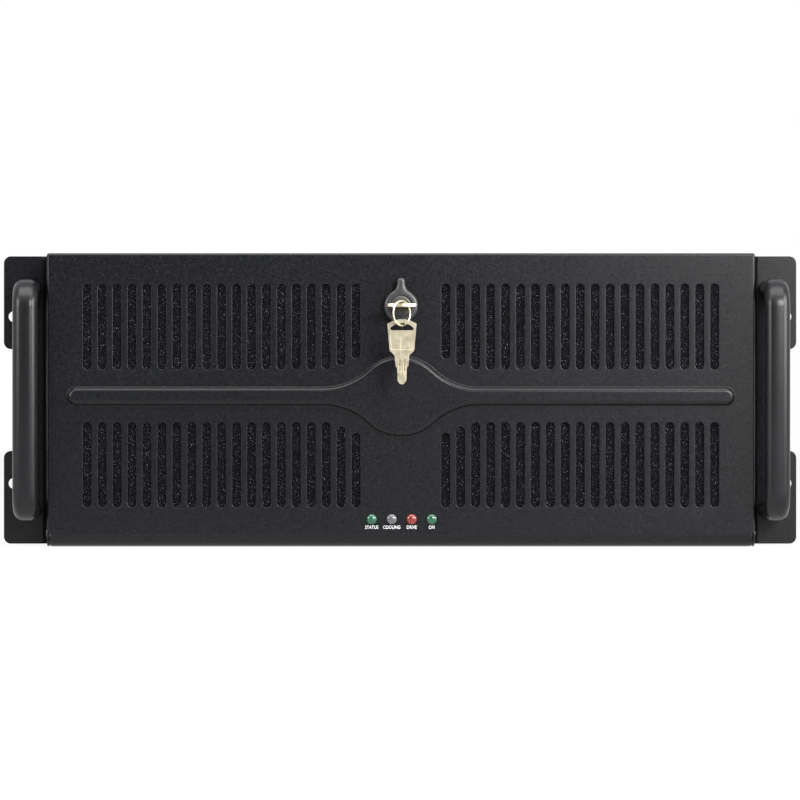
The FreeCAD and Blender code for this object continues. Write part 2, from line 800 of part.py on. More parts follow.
def make_lamps():
    """Domed lamps that snap into the door, and the board behind them."""
    barrel_end = door_face + lamp_barrel_length
    for name, x in zip(lamp_names, lamp_places()):
        lens = rod("y", lamp_lens_radius, (x, lamp_z), door_face - lamp_lens_height, door_face)

        def is_front(box):
            return box.YMax < door_face - lamp_lens_height + touch
        lens = lens.makeChamfer(lamp_lens_height / 2, edges_where(lens, is_front))
        barrel = rod("y", lamp_barrel_radius, (x, lamp_z), door_face, barrel_end)
        keep(name, lens.fuse(barrel))
    reach = lamp_pitch * (len(lamp_names) - 1) / 2 + lamp_board_margin
    x = (lamp_middle_x - reach, lamp_middle_x + reach)
    z = (lamp_z - lamp_board_height / 2, lamp_z + lamp_board_height / 2)
    board = block(x, (barrel_end, barrel_end + board_sheet), z)
    for post_x in (x[0] + post_radius, x[1] - post_radius):
        board = board.fuse(rod("y", post_radius, (post_x, lamp_z), door_inner, barrel_end))
    keep("lamp_board", board)


# ---------------------------------------------------------------- hinge and keeper
def make_hinge_bracket():
    """Right hinge bracket: foot on the front plate, lug inside the door, pin outwards."""
    foot_y = (body_front - hinge_lug_sheet, body_front)
    low = hinge_z + hinge_arm_gap
    foot = block((lug_outer - hinge_foot_width, lug_outer), foot_y, (low, low + hinge_foot_height))
    lug = rod("x", hinge_lug_radius, (hinge_y, hinge_z), lug_inner, lug_outer)
    arm = block((lug_inner, lug_outer), (hinge_y, body_front), (low, low + hinge_arm_height))
    neck = block((lug_inner, lug_outer), (hinge_y - hinge_lug_radius, hinge_y),
                 (hinge_z, low + hinge_arm_height))
    neck = neck.common(rod("x", hinge_arm_height + hinge_arm_gap, (hinge_y, hinge_z),
                           lug_inner, lug_outer))
    pin = rod("x", hinge_pin_radius, (hinge_y, hinge_z), lug_outer, door_side + 2 * end_gap)
    return foot.multiFuse([lug, arm, neck, pin])


def make_latch_keeper():
    """Folded strip on the front plate that the lock's cam turns behind."""
    cam_tip = lock_z + cam_reach
    web_low = cam_tip + keeper_gap
    web_high = web_low + sheet
    lip_back = spindle_back - keeper_lip_gap
    lip_front = lip_back - sheet
    foot_front = body_front - sheet
    profile = [(body_front, web_high), (lip_front, web_high), (lip_front, web_high - keeper_lip),
               (lip_back, web_high - keeper_lip), (lip_back, web_low), (foot_front, web_low),
               (foot_front, web_high - keeper_foot), (body_front, web_high - keeper_foot)]
    keep("latch_keeper", polygon_prism(profile, "x", -keeper_width / 2, keeper_width / 2))


# ---------------------------------------------------------------- lock
def make_lock():
    """Lock housing with its nut, the turning knob with its cam, and the key plug."""
    middle = (0, lock_z)
    housing_end = door_inner + housing_length
    rim = rod("y", housing_rim_radius, middle, door_face - housing_rim, door_face)
    barrel = rod("y", lock_hole_radius - running_gap, middle, door_face, housing_end)
    bore = rod("y", spindle_radius + running_gap, middle, door_face - housing_rim, housing_end)
    keep("lock_housing", rim.fuse(barrel).cut(bore))

    nut = polygon_prism(polygon(6, lock_nut_across_flats, middle), "y",
                        door_inner, door_inner + lock_nut_height)
    keep("lock_nut", nut.cut(rod("y", lock_hole_radius, middle, door_face, housing_end)))

    keep("latch_knob", make_knob(middle))

    cam_y = (spindle_back, cam_back)
    length = cam_reach + cam_tail
    outline = slot_outline(((cam_tail - cam_reach) / 2, lock_z), length, cam_width)
    cam = prism_y(outline, *cam_y)
    keep("latch_cam", cam.cut(rod("y", cam_screw_radius, middle, *cam_y)))

    head = polygon_prism(polygon(6, 2 * cam_screw_head_radius, middle), "y",
                         cam_back, cam_back + cam_screw_head_height)
    shank = rod("y", cam_screw_radius, middle, spindle_back - cam_screw_depth, cam_back)
    keep("cam_screw", head.fuse(shank))

    plug = rod("y", plug_radius, middle, plug_front, plug_back)
    key_tip = key_front + key_length
    half_width = key_neck_width / 2 + keyway_gap
    half_height = key_thickness / 2 + keyway_gap
    keyway = block((-half_width, half_width), (plug_front, key_tip + end_gap),
                   (lock_z - half_height, lock_z + half_height))
    keep("lock_plug", plug.cut(keyway))


def make_knob(middle):
    """Round knob with one grip tab, on a hollow spindle that carries the plug and the cam."""
    half = knob_tab_width / 2
    blend = knob_tab_fillet
    height = math.sqrt((knob_radius + blend) ** 2 - (half + blend) ** 2)
    meet = math.degrees(math.atan2(height, half + blend))
    z = lock_z
    tip = z + knob_tab_reach
    edges = [arc((0, z), knob_radius, 180 - meet, 360 + meet)]
    for side in (-1, 1):
        centre = (side * (half + blend), z + height)
        inner = 180 if side > 0 else 0
        outer = 180 + meet if side > 0 else -meet
        edges.append(arc(centre, blend, inner, outer))
        edges.append(line((side * half, z + height), (side * half, tip)))
    edges.append(line((-half, tip), (half, tip)))
    disc = prism_y(edges, knob_front, knob_back)

    def is_front(box):
        return box.YMax < knob_front + touch
    disc = disc.makeChamfer(knob_edge, edges_where(disc, is_front))
    spindle = rod("y", spindle_radius, middle, knob_back, spindle_back)
    knob = disc.fuse(spindle)
    plug_room = rod("y", plug_radius + running_gap, middle, knob_front, plug_back + end_gap)
    ring_room = rod("y", knob_ring_radius, middle, knob_front, knob_front + knob_ring_depth)
    thread = rod("y", cam_screw_radius, middle, spindle_back - cam_screw_depth, spindle_back)
    return knob.cut([plug_room, ring_room, thread])


# ---------------------------------------------------------------- keys
def make_key():
    """A key lying flat: bow at the origin, blade along +Y, width along X, thickness along Z."""
    half = key_thickness / 2
    bow = key_bow_width / 2
    end = key_bow_end_width / 2
    neck = key_neck_width / 2
    blade = key_blade_width / 2
    tip = key_tip_width / 2
    shoulder = end - neck
    neck_end = key_bow_length + key_neck_length
    tip_start = key_length - key_tip_length
    right_side = [(bow, key_crown), (end, key_bow_length - shoulder), (neck, key_bow_length),
                  (neck, neck_end), (blade, neck_end + (neck - blade)), (blade, tip_start - blade + tip),
                  (tip, tip_start), (tip, key_length - tip), (tip / 3, key_length)]
    left_side = [(-x, y) for x, y in reversed(right_side)]

    def at(x, y):
        return Vector(x, y, -half)
    corners = [at(x, y) for x, y in right_side + left_side]
    crown = Part.Arc(at(-bow, key_crown), at(0, 0), at(bow, key_crown)).toShape()
    outline = Part.Wire([crown] + Part.makePolygon(corners).Edges)
    key = Part.Face(outline).extrude(Vector(0, 0, key_thickness))

    hole_half = key_hole_width / 2
    hole_top = Part.Arc(at(-hole_half, key_bar + key_hole_height), at(0, key_bar),
                        at(hole_half, key_bar + key_hole_height)).toShape()
    hole_base = Part.makeLine(at(hole_half, key_bar + key_hole_height),
                              at(-hole_half, key_bar + key_hole_height))
    hole = Part.Face(Part.Wire([hole_top, hole_base])).extrude(Vector(0, 0, key_thickness))
    cuts = [hole]
    panel_top = key_bar + key_hole_height + key_band
    slope = (bow - end) / (key_bow_length - key_crown)
    wide = bow - key_rim - slope * (panel_top - key_crown)
    narrow = end - key_rim
    panel_end = key_bow_length - shoulder
    panel = [(-wide, panel_top), (wide, panel_top), (narrow, panel_end), (-narrow, panel_end)]
    for z in (-half, half - key_recess):
        cuts.append(polygon_prism(panel, "z", z, z + key_recess))
    for x in (-tip / 2, tip / 2):
        groove_x = (x - key_groove_width / 2, x + key_groove_width / 2)
        for z in ((-half, -half + key_groove_depth), (half - key_groove_depth, half)):
            cuts.append(block(groove_x, (neck_end, key_length), z))
    return key.cut(cuts)


def make_keys():
    """The key in the lock, the ring through its bow and the spare key that hangs from it."""
    door_key = make_key()
    door_key.translate(Vector(0, key_front, lock_z))
    keep("door_key", door_key)

    corners = [Vector(ring_middle_radius + a, b, 0)
               for a, b in polygon(6, ring_wire * math.cos(math.pi / 6), (0, 0))]
    section = Part.Face(Part.makePolygon(corners + corners[:1]))
    ring = section.revolve(Vector(0, 0, 0), Vector(0, 1, 0), 360)
    ring.rotate(Vector(0, 0, 0), Vector(0, 0, 1), ring_turn)
    ring.translate(Vector(0, ring_y, ring_z))
    keep("key_ring", ring)

    spare = make_key()
    spare.rotate(Vector(0, 0, 0), Vector(1, 0, 0), -90)
    spare.translate(Vector(0, ring_y, spare_top))
    keep("spare_key", spare)


# ---------------------------------------------------------------- drive bays
def cage(x, y, z, slot_rows):
    """A sheet tunnel open at both ends, with screw slots in its sides."""
    tunnel = block(x, y, z).cut(block((x[0] + sheet, x[1] - sheet), y, (z[0] + sheet, z[1] - sheet)))
    length, height = bay_screw_slot
    cuts = []
    for row in slot_rows:
        for share in bay_screw_shares:
            place = y[0] + (y[1] - y[0]) * share
            cuts.append(block((x[0] - sheet, x[1] + sheet), (place - length / 2, place + length / 2),
                              (row - height / 2, row + height / 2)))
    return tunnel.cut(cuts)


def make_bays():
    """Cages for three wide drives and one small drive, and their blanking covers."""
    wide_x = (bay_left - sheet, bay_right + sheet)
    wide_z = (bay_stack_bottom - sheet, bay_stack_top + sheet)
    middles = [bay_stack_bottom + (i + 0.5) * bay_height for i in range(bay_count)]
    keep("drive_cage_wide", cage(wide_x, (plate_back, plate_back + bay_depth), wide_z, middles))
    half = small_bay_width / 2 + sheet
    small_x = (bay_middle_x - half, bay_middle_x + half)
    small_z = (floor, bay_stack_bottom - sheet)
    small_y = (body_front + fold_depth + end_gap, plate_back + small_bay_depth)
    small = cage(small_x, small_y, small_z, [small_bay_middle_z])
    keep("drive_cage_small", small)
    for i, z in enumerate(reversed(middles)):
        keep("bay_cover_%d" % (i + 1), bay_cover(bay_width, bay_height, z))
    keep("bay_cover_small", bay_cover(small_bay_width, small_bay_height + cover_gap,
                                      small_bay_middle_z))


def bay_cover(width, height, middle_z):
    """Moulded blanking cover: a tray front with two snap arms along the bay's sides."""
    half = width / 2 - cover_gap
    rise = height / 2 - cover_gap
    x = (bay_middle_x - half, bay_middle_x + half)
    z = (middle_z - rise, middle_z + rise)
    front = body_front - cover_stand_out
    cover = open_box(x, (front, plate_back + sheet), z, cover_wall, "back")

    def is_front_edge(box):
        return box.YMax < front + touch
    cover = cover.makeChamfer(cover_edge, edges_where(cover, is_front_edge))
    for side in (-1, 1):
        outer = bay_middle_x + side * half
        arm_x = sorted((outer, outer - side * cover_wall))
        cover = cover.fuse(block(arm_x, (plate_back, plate_back + cover_arm_depth),
                                 (middle_z - rise / 3, middle_z + rise / 3)))
    return cover


# ---------------------------------------------------------------- front controls
def usb_places():
    """Middles of the two front sockets."""
    return [(control_x, usb_z - usb_pitch / 2), (control_x, usb_z + usb_pitch / 2)]


def make_controls():
    """Two push buttons, the board with their switches, and the socket block."""
    tip = body_front - button_stand_out
    collar_y = (plate_back + end_gap, plate_back + end_gap + button_collar)
    switch_front = tip + button_length + button_travel + end_gap
    board_front = switch_front + switch_height
    places = (("power_button", power_button_radius, power_button_z),
              ("reset_button", reset_button_radius, reset_button_z))
    board_z = (reset_button_z - switch_board_width / 2, power_button_z + switch_board_width / 2)
    half = switch_board_width / 2
    board = block((control_x - half, control_x + half), (board_front, board_front + board_sheet), board_z)
    for name, radius, z in places:
        cap = rod("y", radius, (control_x, z), tip, collar_y[1])

        def is_front(box):
            return box.YMax < tip + touch
        cap = cap.makeChamfer(button_collar / 2, edges_where(cap, is_front))
        wide = radius + button_collar
        collar = block((control_x - wide, control_x + wide), collar_y, (z - wide, z + wide))
        thin = radius / 3
        stem = block((control_x - thin, control_x + thin), (collar_y[1], tip + button_length),
                     (z - thin, z + thin))
        keep(name, cap.fuse(collar).fuse(stem))
        reach = switch_size / 2
        board = board.fuse(block((control_x - reach, control_x + reach), (switch_front, board_front),
                                 (z - reach, z + reach)))
    for z in (board_z[0] + post_radius, board_z[1] - post_radius):
        board = board.fuse(rod("y", post_radius, (control_x, z), plate_back, board_front))
    keep("switch_board", board)

    socket_end = body_front + usb_depth
    case_z = (usb_z - usb_pitch, usb_z + usb_pitch)
    wide = usb_shell[0] / 2
    sockets = block((control_x - wide, control_x + wide), (plate_back, socket_end), case_z)
    for x, z in usb_places():
        outer = block((x - wide, x + wide), (body_front, plate_back),
                      (z - usb_shell[1] / 2, z + usb_shell[1] / 2))
        mouth = block((x - usb_mouth[0] / 2, x + usb_mouth[0] / 2), (body_front, socket_end - sheet),
                      (z - usb_mouth[1] / 2, z + usb_mouth[1] / 2))
        tongue_top = z + usb_mouth[1] / 2 - cover_gap
        tongue = block((x - usb_tongue[0] / 2, x + usb_tongue[0] / 2), (body_front + sheet, socket_end),
                       (tongue_top - usb_tongue[1], tongue_top))
        sockets = sockets.fuse(outer).cut(mouth).fuse(tongue)
    keep("socket_block", sockets)


# ---------------------------------------------------------------- fans
def make_fan(name, size, blades, middle, front, blow):
    """A fan: square frame with struts and shaft, and its rotor. blow is the side of the struts."""
    back = front + fan_depth
    half = size / 2
    bore = half - fan_wall
    hub = size * fan_hub_share / 2
    x = (middle[0] - half, middle[0] + half)
    z = (middle[1] - half, middle[1] + half)
    frame = block(x, (front, back), z)
    frame = frame.makeChamfer(fan_corner, edges_where(frame, along("y")))
    frame = frame.cut(rod("y", bore, middle, front, back))
    base_y = (back - fan_base, back) if blow == "back" else (front, front + fan_base)
    struts = [polygon_prism(polygon(fan_hub_faces * blades, 2 * hub, middle), "y", *base_y)]
    for turn in (45, 135):
        strut = block((-half, half), base_y, (-fan_strut / 2, fan_strut / 2))
        strut.rotate(Vector(0, 0, 0), Vector(0, 1, 0), turn)
        strut.translate(Vector(middle[0], 0, middle[1]))
        struts.append(strut)
    far = front + fan_base if blow == "back" else back - fan_base
    shaft_y = (far, base_y[0]) if blow == "back" else (base_y[1], far)
    struts.append(rod("y", fan_shaft_radius, middle, *shaft_y))
    frame = frame.multiFuse(struts)
    keep(name + "_frame", frame)

    if blow == "back":
        rotor_y = (front + fan_base / 2, shaft_y[1] - end_gap)
    else:
        rotor_y = (shaft_y[0] + end_gap, back - fan_base / 2)
    rotor = polygon_prism(polygon(fan_hub_faces * blades, 2 * hub, middle), "y", *rotor_y)
    tip = bore - fan_tip_gap
    length = rotor_y[1] - rotor_y[0]
    blade = fan_blade(hub * fan_blade_start, tip, length)
    blade.translate(Vector(middle[0], (rotor_y[0] + rotor_y[1]) / 2, middle[1]))
    turned = []
    for i in range(blades):
        copy = blade.copy()
        copy.rotate(Vector(middle[0], 0, middle[1]), Vector(0, 1, 0), i * 360 / blades)
        turned.append(copy)
    rotor = rotor.multiFuse(turned)
    clear = rod("y", fan_shaft_radius + running_gap, middle, shaft_y[0] - end_gap, shaft_y[1] + end_gap)
    keep(name + "_rotor", rotor.cut(clear))


def fan_blade(root, rim, length):
    """A slanted blade that widens from its root to its tip, around the middle of a fan."""
    slant = math.radians(fan_blade_pitch)
    along_chord = Vector(math.cos(slant), math.sin(slant), 0)
    across = Vector(-math.sin(slant), math.cos(slant), 0) * (fan_blade_sheet / 2)
    widest = (length - fan_blade_sheet) / 2 / math.sin(slant)
    half_span = widest * math.cos(slant) + fan_blade_sheet
    tip = math.sqrt(rim ** 2 - half_span ** 2)
    sections = []
    for radius, reach in ((root, fan_blade_root_share * widest), (tip, widest)):
        lift = Vector(0, 0, radius)
        chord = along_chord * reach
        corners = [lift - chord - across, lift + chord - across,
                   lift + chord + across, lift - chord + across]
        sections.append(Part.makePolygon(corners + corners[:1]))
    return Part.makeLoft(sections, True, True)


def make_fans():
    """One large fan behind the front vent and two small ones at the rear."""
    make_fan("front_fan", front_fan_size, front_fan_blades, (front_fan_x, front_fan_z),
             plate_back, "back")
    for i, x in enumerate(rear_fan_x):
        make_fan("rear_fan_%d" % (i + 1), rear_fan_size, rear_fan_blades, (x, rear_fan_z),
                 rear_inner - fan_depth, "front")


# ---------------------------------------------------------------- rear and inside
def make_cards():
    """Cover plates of the expansion openings and the rail that their tabs rest on."""
    cover_y = (rear_inner - card_cover_sheet, rear_inner)
    half = card_cover_width / 2
    for number in range(card_count):
        x = card_x(number)
        plate = block((x - half, x + half), cover_y, (card_bottom - card_cover_lap, card_tab_z))
        tab = block((x - half, x + half), (rear_inner - card_tab_depth, rear_inner),
                    (card_tab_z, card_tab_z + card_cover_sheet))
        keep("card_cover_%d" % (number + 1), plate.fuse(tab))
    first = card_x(card_count - 1) - card_pitch / 2
    last = card_x(0) + card_pitch / 2
    ledge = block((first, last), (rear_inner - card_tab_depth, cover_y[0]),
                  (card_tab_z - sheet, card_tab_z))
    drop = block((first, last), (rear_inner - card_tab_depth, rear_inner - card_tab_depth + sheet),
                 (card_tab_z - card_rail_height, card_tab_z))
    keep("card_rail", ledge.fuse(drop))


def make_inside():
    """Hold-down bar across the case and the stand-offs for a main board."""
    high = lid_under - bar_top_gap
    low = high - bar_height
    y = (bar_y, bar_y + bar_depth)
    profile = [(y[0], low), (y[0], high), (y[1], high), (y[1], low), (y[1] - sheet, low),
               (y[1] - sheet, high - sheet), (y[0] + sheet, high - sheet), (y[0] + sheet, low)]
    keep("hold_down_bar", polygon_prism(profile, "x", -inner_side, inner_side))
    pillars = []
    for x in stand_off_x:
        for y in stand_off_y:
            pillars.append(polygon_prism(polygon(6, stand_off_across_flats, (x, y)), "z",
                                         floor, floor + stand_off_height))
    keep("board_stand_offs", Part.makeCompound(pillars))


# ---------------------------------------------------------------- the whole case
def make_case():
    make_base_tray()
    make_front_plate()
    make_rear_plate()
    make_top_cover()
    ear = make_ear()
    handle = make_handle()
    bracket = make_hinge_bracket()
    for name, solid in (("rack_ear", ear), ("handle", handle), ("hinge_bracket", bracket)):
        keep(name + "_right", solid)
        keep(name + "_left", mirrored(solid))
    make_handle_bolts()
    make_door_panel()
    make_filter(-1)
    make_filter(1)
    make_lamps()
    make_latch_keeper()
    make_lock()
    make_keys()
    make_bays()
    make_controls()
    make_fans()
    make_cards()
    make_inside()


make_case()
os.makedirs("parts", exist_ok=True)
for node_name, node_shape in nodes.items():
    node_shape.exportStep("parts/" + node_name + ".step")
    print(node_name, len(node_shape.Solids), round(node_shape.Volume, 1), node_shape.isValid())
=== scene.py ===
import math

import bmesh
import bpy
from mathutils import Matrix, Vector


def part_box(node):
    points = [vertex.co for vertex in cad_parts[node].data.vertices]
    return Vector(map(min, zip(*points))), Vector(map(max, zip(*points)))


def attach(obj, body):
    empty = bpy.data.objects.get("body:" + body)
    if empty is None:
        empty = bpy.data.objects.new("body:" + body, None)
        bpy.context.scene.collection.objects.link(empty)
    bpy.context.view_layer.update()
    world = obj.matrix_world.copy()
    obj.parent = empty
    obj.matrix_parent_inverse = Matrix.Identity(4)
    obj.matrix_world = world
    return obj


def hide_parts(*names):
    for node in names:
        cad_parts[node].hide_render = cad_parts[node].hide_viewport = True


# Rackmount server case. Shapes are drawn in millimetres and scaled to metres when a
# piece is finished. +X right, +Y back into the rack, +Z up.
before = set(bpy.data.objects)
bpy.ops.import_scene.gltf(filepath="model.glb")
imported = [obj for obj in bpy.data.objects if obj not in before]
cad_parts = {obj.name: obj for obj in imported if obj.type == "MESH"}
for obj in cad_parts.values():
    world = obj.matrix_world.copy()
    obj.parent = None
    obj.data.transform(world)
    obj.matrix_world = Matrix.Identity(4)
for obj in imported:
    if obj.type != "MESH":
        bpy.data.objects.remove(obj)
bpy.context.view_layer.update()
print("frame loaded:", len(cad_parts), "nodes")


# ---- shader building

class Wire:                                      # a socket that can be used in sums
    def __init__(self, finish, socket):
        self.finish = finish
        self.socket = socket

    def maths(self, operation, first, second):
        return self.finish.node("Math", {"operation": operation}, {0: first, 1: second})

    def __add__(self, other):
        return self.maths("ADD", self, other)

    def __radd__(self, other):
        return self.maths("ADD", other, self)

    def __sub__(self, other):
        return self.maths("SUBTRACT", self, other)

    def __rsub__(self, other):
        return self.maths("SUBTRACT", other, self)

    def __mul__(self, other):
        return self.maths("MULTIPLY", self, other)

    def __rmul__(self, other):
        return self.maths("MULTIPLY", other, self)


class Finish:                                    # one material while it is wired up
    def __init__(self, name, tree=None):
        if tree is None:
            self.material = bpy.data.materials.new(name)
            self.material.use_nodes = True
            tree = self.material.node_tree
        self.tree = tree
        self.tree.nodes.clear()

    def node(self, kind, settings=None, values=None, output=0):
        made = self.tree.nodes.new("ShaderNode" + kind)
        for key, value in (settings or {}).items():
            if key == "stops":
                ramp = made.color_ramp.elements
                while len(ramp) < len(value):
                    ramp.new(0.5)
                for element, (place, level) in zip(ramp, value):
                    element.position = place
                    element.color = (level, level, level, 1)
            else:
                setattr(made, key, value)
        for key, value in (values or {}).items():
            if isinstance(value, Wire):
                self.tree.links.new(value.socket, made.inputs[key])
            else:
                made.inputs[key].default_value = value
        return Wire(self, made.outputs[output]) if made.outputs else None

    def place(self):
        return self.node("TexCoord", {}, {}, "Object")

    def noise(self, scale, detail=2.0, roughness=0.5, vector=None):
        values = {"Vector": vector or self.place(), "Scale": scale, "Detail": detail, "Roughness": roughness}
        return self.node("TexNoise", {}, values)

    def stretched(self, scale):                  # object coordinates drawn out along an axis
        return self.node("Mapping", {}, {"Vector": self.place(), "Scale": scale})

    def ramp(self, fac, stops):
        return self.node("ValToRGB", {"stops": stops}, {"Fac": fac})

    def colour(self, fac, first, second):
        return self.node("Mix", {"data_type": "RGBA"}, {0: fac, 6: (*first, 1), 7: (*second, 1)}, 2)

    def bump(self, height, distance, strength=1.0):
        return self.node("Bump", {}, {"Height": height, "Distance": distance, "Strength": strength})

    def seen(self):                              # 1 where a ray meets the studio itself and not its light
        rays = [self.node("LightPath", {}, {}, name)
                for name in ("Is Camera Ray", "Is Glossy Ray", "Is Transmission Ray")]
        either = self.node("Math", {"operation": "MAXIMUM"}, {0: rays[0], 1: rays[1]})
        return self.node("Math", {"operation": "MAXIMUM"}, {0: either, 1: rays[2]})

    def done(self, **sockets):
        names = {"baseColor": "Base Color", "roughness": "Roughness", "metallic": "Metallic", "normal": "Normal",
                 "coat": "Coat Weight", "coatRoughness": "Coat Roughness", "specular": "Specular IOR Level",
                 "transmission": "Transmission Weight", "ior": "IOR"}
        shader = self.node("BsdfPrincipled", {}, {names[key]: value for key, value in sockets.items()})
        self.node("OutputMaterial", {}, {"Surface": shader})
        return self.material


def texturedCoat():
    f = Finish("texturedCoat")
    grain = f.noise(1250.0, 2.0, 0.55)
    coarse = f.noise(420.0, 1.0, 0.5)
    cloud = f.noise(14.0, 2.0, 0.5)
    height = grain * 0.8 + coarse * 0.2
    # painted glints: a sparse noise mask lifts the base colour in small specks that stand for light glinting off the
    # grain
    paintedGlint = f.ramp(f.noise(900.0, 1.0, 0.5), [(0.62, 0.0), (0.72, 1.0)])
    # tone is the grain's random tone plus these painted glints, and it also steers the roughness
    tone = f.ramp(grain * 0.7 + coarse * 0.3, [(0.36, 0.0), (0.66, 0.7)]) + paintedGlint * 0.9
    return f.done(baseColor=f.colour(tone, (0.0010, 0.0012, 0.0017), (0.0066, 0.0070, 0.0085)),
                  roughness=cloud * 0.05 + 0.25 + tone * 0.06, specular=0.30,
                  normal=f.bump(height, 0.00022, 0.32))


def satinCoat():
    f = Finish("satinCoat")
    fine = f.noise(1800.0, 1.0, 0.5)
    cloud = f.noise(30.0, 2.0, 0.5)
    return f.done(baseColor=f.colour(cloud, (0.0030, 0.0032, 0.0040), (0.0060, 0.0062, 0.0072)),
                  roughness=0.26 + cloud * 0.06, specular=0.34, normal=f.bump(fine, 0.00004, 0.5))


def zincSheet():
    f = Finish("zincSheet")
    spangle = f.node("TexVoronoi", {"feature": "F1"}, {"Vector": f.place(), "Scale": 150.0}, "Color")
    flake = f.node("RGBToBW", {}, {"Color": spangle})
    brushed = f.noise(900.0, 2.0, 0.6, f.stretched((1.0, 0.06, 1.0)))
    cloud = f.noise(9.0, 3.0, 0.5)
    tone = flake * 0.30 + brushed * 0.40 + cloud * 0.30
    return f.done(baseColor=f.colour(tone, (0.19, 0.20, 0.21), (0.27, 0.28, 0.29)), metallic=1.0,
                  roughness=0.47 + flake * 0.04 + cloud * 0.06, normal=f.bump(brushed + flake * 0.2, 0.00002, 0.15))


def plainSteel():
    f = Finish("plainSteel")
    turned = f.noise(1500.0, 2.0, 0.6)
    cloud = f.noise(60.0, 2.0, 0.5)
    return f.done(baseColor=f.colour(cloud, (0.28, 0.29, 0.30), (0.42, 0.43, 0.44)), metallic=1.0,
                  roughness=0.36 + cloud * 0.14, normal=f.bump(turned, 0.00002, 0.3))


def nickelPlate():
    f = Finish("nickelPlate")
    worn = f.noise(260.0, 3.0, 0.6)
    scratch = f.noise(1400.0, 1.0, 0.5, f.stretched((1.0, 1.0, 0.05)))
    mark = f.ramp(scratch, [(0.60, 0.0), (0.66, 1.0)])
    return f.done(baseColor=f.colour(worn, (0.46, 0.40, 0.27), (0.76, 0.70, 0.54)), metallic=1.0,
                  roughness=0.27 + worn * 0.12 + mark * 0.08, normal=f.bump(scratch, 0.00001, 0.3))


def plugSteel():
    f = Finish("plugSteel")
    turned = f.noise(900.0, 3.0, 0.6)
    return f.done(baseColor=f.colour(turned, (0.05, 0.05, 0.047), (0.14, 0.137, 0.128)), metallic=1.0,
                  roughness=0.30 + turned * 0.15, normal=f.bump(turned, 0.00004, 0.4))


def filterFoam():
    f = Finish("filterFoam")
    cells = f.node("TexVoronoi", {"feature": "DISTANCE_TO_EDGE"}, {"Vector": f.place(), "Scale": 720.0}, "Distance")
    strand = f.ramp(cells, [(0.05, 1.0), (0.22, 0.0)])
    # painted glints: sparse pale specks are mixed into the base colour and stand for light catching the foam strands
    glint = f.noise(1900.0, 1.0, 0.5)
    bright = f.ramp(glint, [(0.675, 0.0), (0.76, 1.0)])
    # painted shade: the cell hollows are coloured darker than the strands around them, so the pores read as shaded
    # holes
    black = f.colour(strand, (0.0006, 0.0006, 0.0008), (0.0050, 0.0052, 0.0062))
    return f.done(baseColor=f.node("Mix", {"data_type": "RGBA"}, {0: bright, 6: black, 7: (0.22, 0.23, 0.26, 1)}, 2),
                  roughness=0.8 - bright * 0.3, specular=0.06, normal=f.bump(strand, 0.0006, 0.8))


def glossBlack():
    f = Finish("glossBlack")
    ripple = f.noise(160.0, 2.0, 0.5)
    dust = f.ramp(f.noise(1100.0, 2.0, 0.6), [(0.60, 0.0), (0.72, 1.0)])
    return f.done(baseColor=f.colour(dust, (0.010, 0.010, 0.011), (0.024, 0.024, 0.026)),
                  roughness=0.40 + dust * 0.10, specular=0.6, coat=0.2, coatRoughness=0.22,
                  normal=f.bump(ripple, 0.00003, 0.25))


def mouldedPlastic(name, low, high, gloss):
    f = Finish(name)
    spark = f.noise(1500.0, 1.0, 0.5)
    cloud = f.noise(25.0, 2.0, 0.5)
    return f.done(baseColor=f.colour(spark * 0.4 + cloud * 0.6, low, high), roughness=gloss + cloud * 0.08,
                  specular=0.4, normal=f.bump(spark, 0.00005, 0.4))


def lampPlastic(name, deep, light):
    f = Finish(name)
    swirl = f.noise(420.0, 2.0, 0.5)
    return f.done(baseColor=f.colour(swirl, deep, light), roughness=0.10 + swirl * 0.06, specular=0.5,
                  coat=0.6, coatRoughness=0.05, transmission=0.25, ior=1.49,
                  normal=f.bump(swirl, 0.00003, 0.2))


def brass():
    f = Finish("brass")
    turned = f.noise(900.0, 2.0, 0.5)
    return f.done(baseColor=f.colour(turned, (0.52, 0.38, 0.14), (0.72, 0.56, 0.25)), metallic=1.0,
                  roughness=0.25 + turned * 0.12)


def circuitBoard():
    f = Finish("circuitBoard")
    track = f.node("TexBrick", {}, {"Vector": f.place(), "Scale": 210.0, "Mortar Size": 0.03}, "Fac")
    cloud = f.noise(60.0, 2.0, 0.5)
    return f.done(baseColor=f.colour(track, (0.010, 0.075, 0.030), (0.020, 0.120, 0.050)),
                  roughness=0.30 + cloud * 0.10, normal=f.bump(track, 0.00003, 0.4))


def printedWhite():
    f = Finish("printedWhite")
    worn = f.noise(900.0, 2.0, 0.6)
    return f.done(baseColor=f.colour(worn, (0.50, 0.50, 0.50), (0.72, 0.72, 0.72)), roughness=0.55)


finishes = {
    "texturedCoat": texturedCoat(), "satinCoat": satinCoat(), "zincSheet": zincSheet(), "plainSteel": plainSteel(),
    "nickelPlate": nickelPlate(), "plugSteel": plugSteel(), "filterFoam": filterFoam(), "glossBlack": glossBlack(),
    "brass": brass(), "circuitBoard": circuitBoard(), "printedWhite": printedWhite(),
    "mattPlastic": mouldedPlastic("mattPlastic", (0.014, 0.014, 0.015), (0.026, 0.026, 0.028), 0.42),
    "greenLamp": lampPlastic("greenLamp", (0.003, 0.040, 0.020), (0.016, 0.150, 0.075)),
    "clearLamp": lampPlastic("clearLamp", (0.050, 0.053, 0.058), (0.16, 0.165, 0.175)),
    "redLamp": lampPlastic("redLamp", (0.110, 0.006, 0.004), (0.38, 0.035, 0.022)),
}
print("finishes:", len(finishes))


# ---- shape helpers

def arcPoints(x, z, radius, start, end, steps):  # points of an arc, degrees from +X
    turns = [math.radians(start + (end - start) * i / steps) for i in range(steps + 1)]
    return [(x + radius * math.cos(t), z + radius * math.sin(t)) for t in turns]


def circleLoop(x, z, radius, count):
    return arcPoints(x, z, radius, 0, 360 - 360 / count, count - 1)


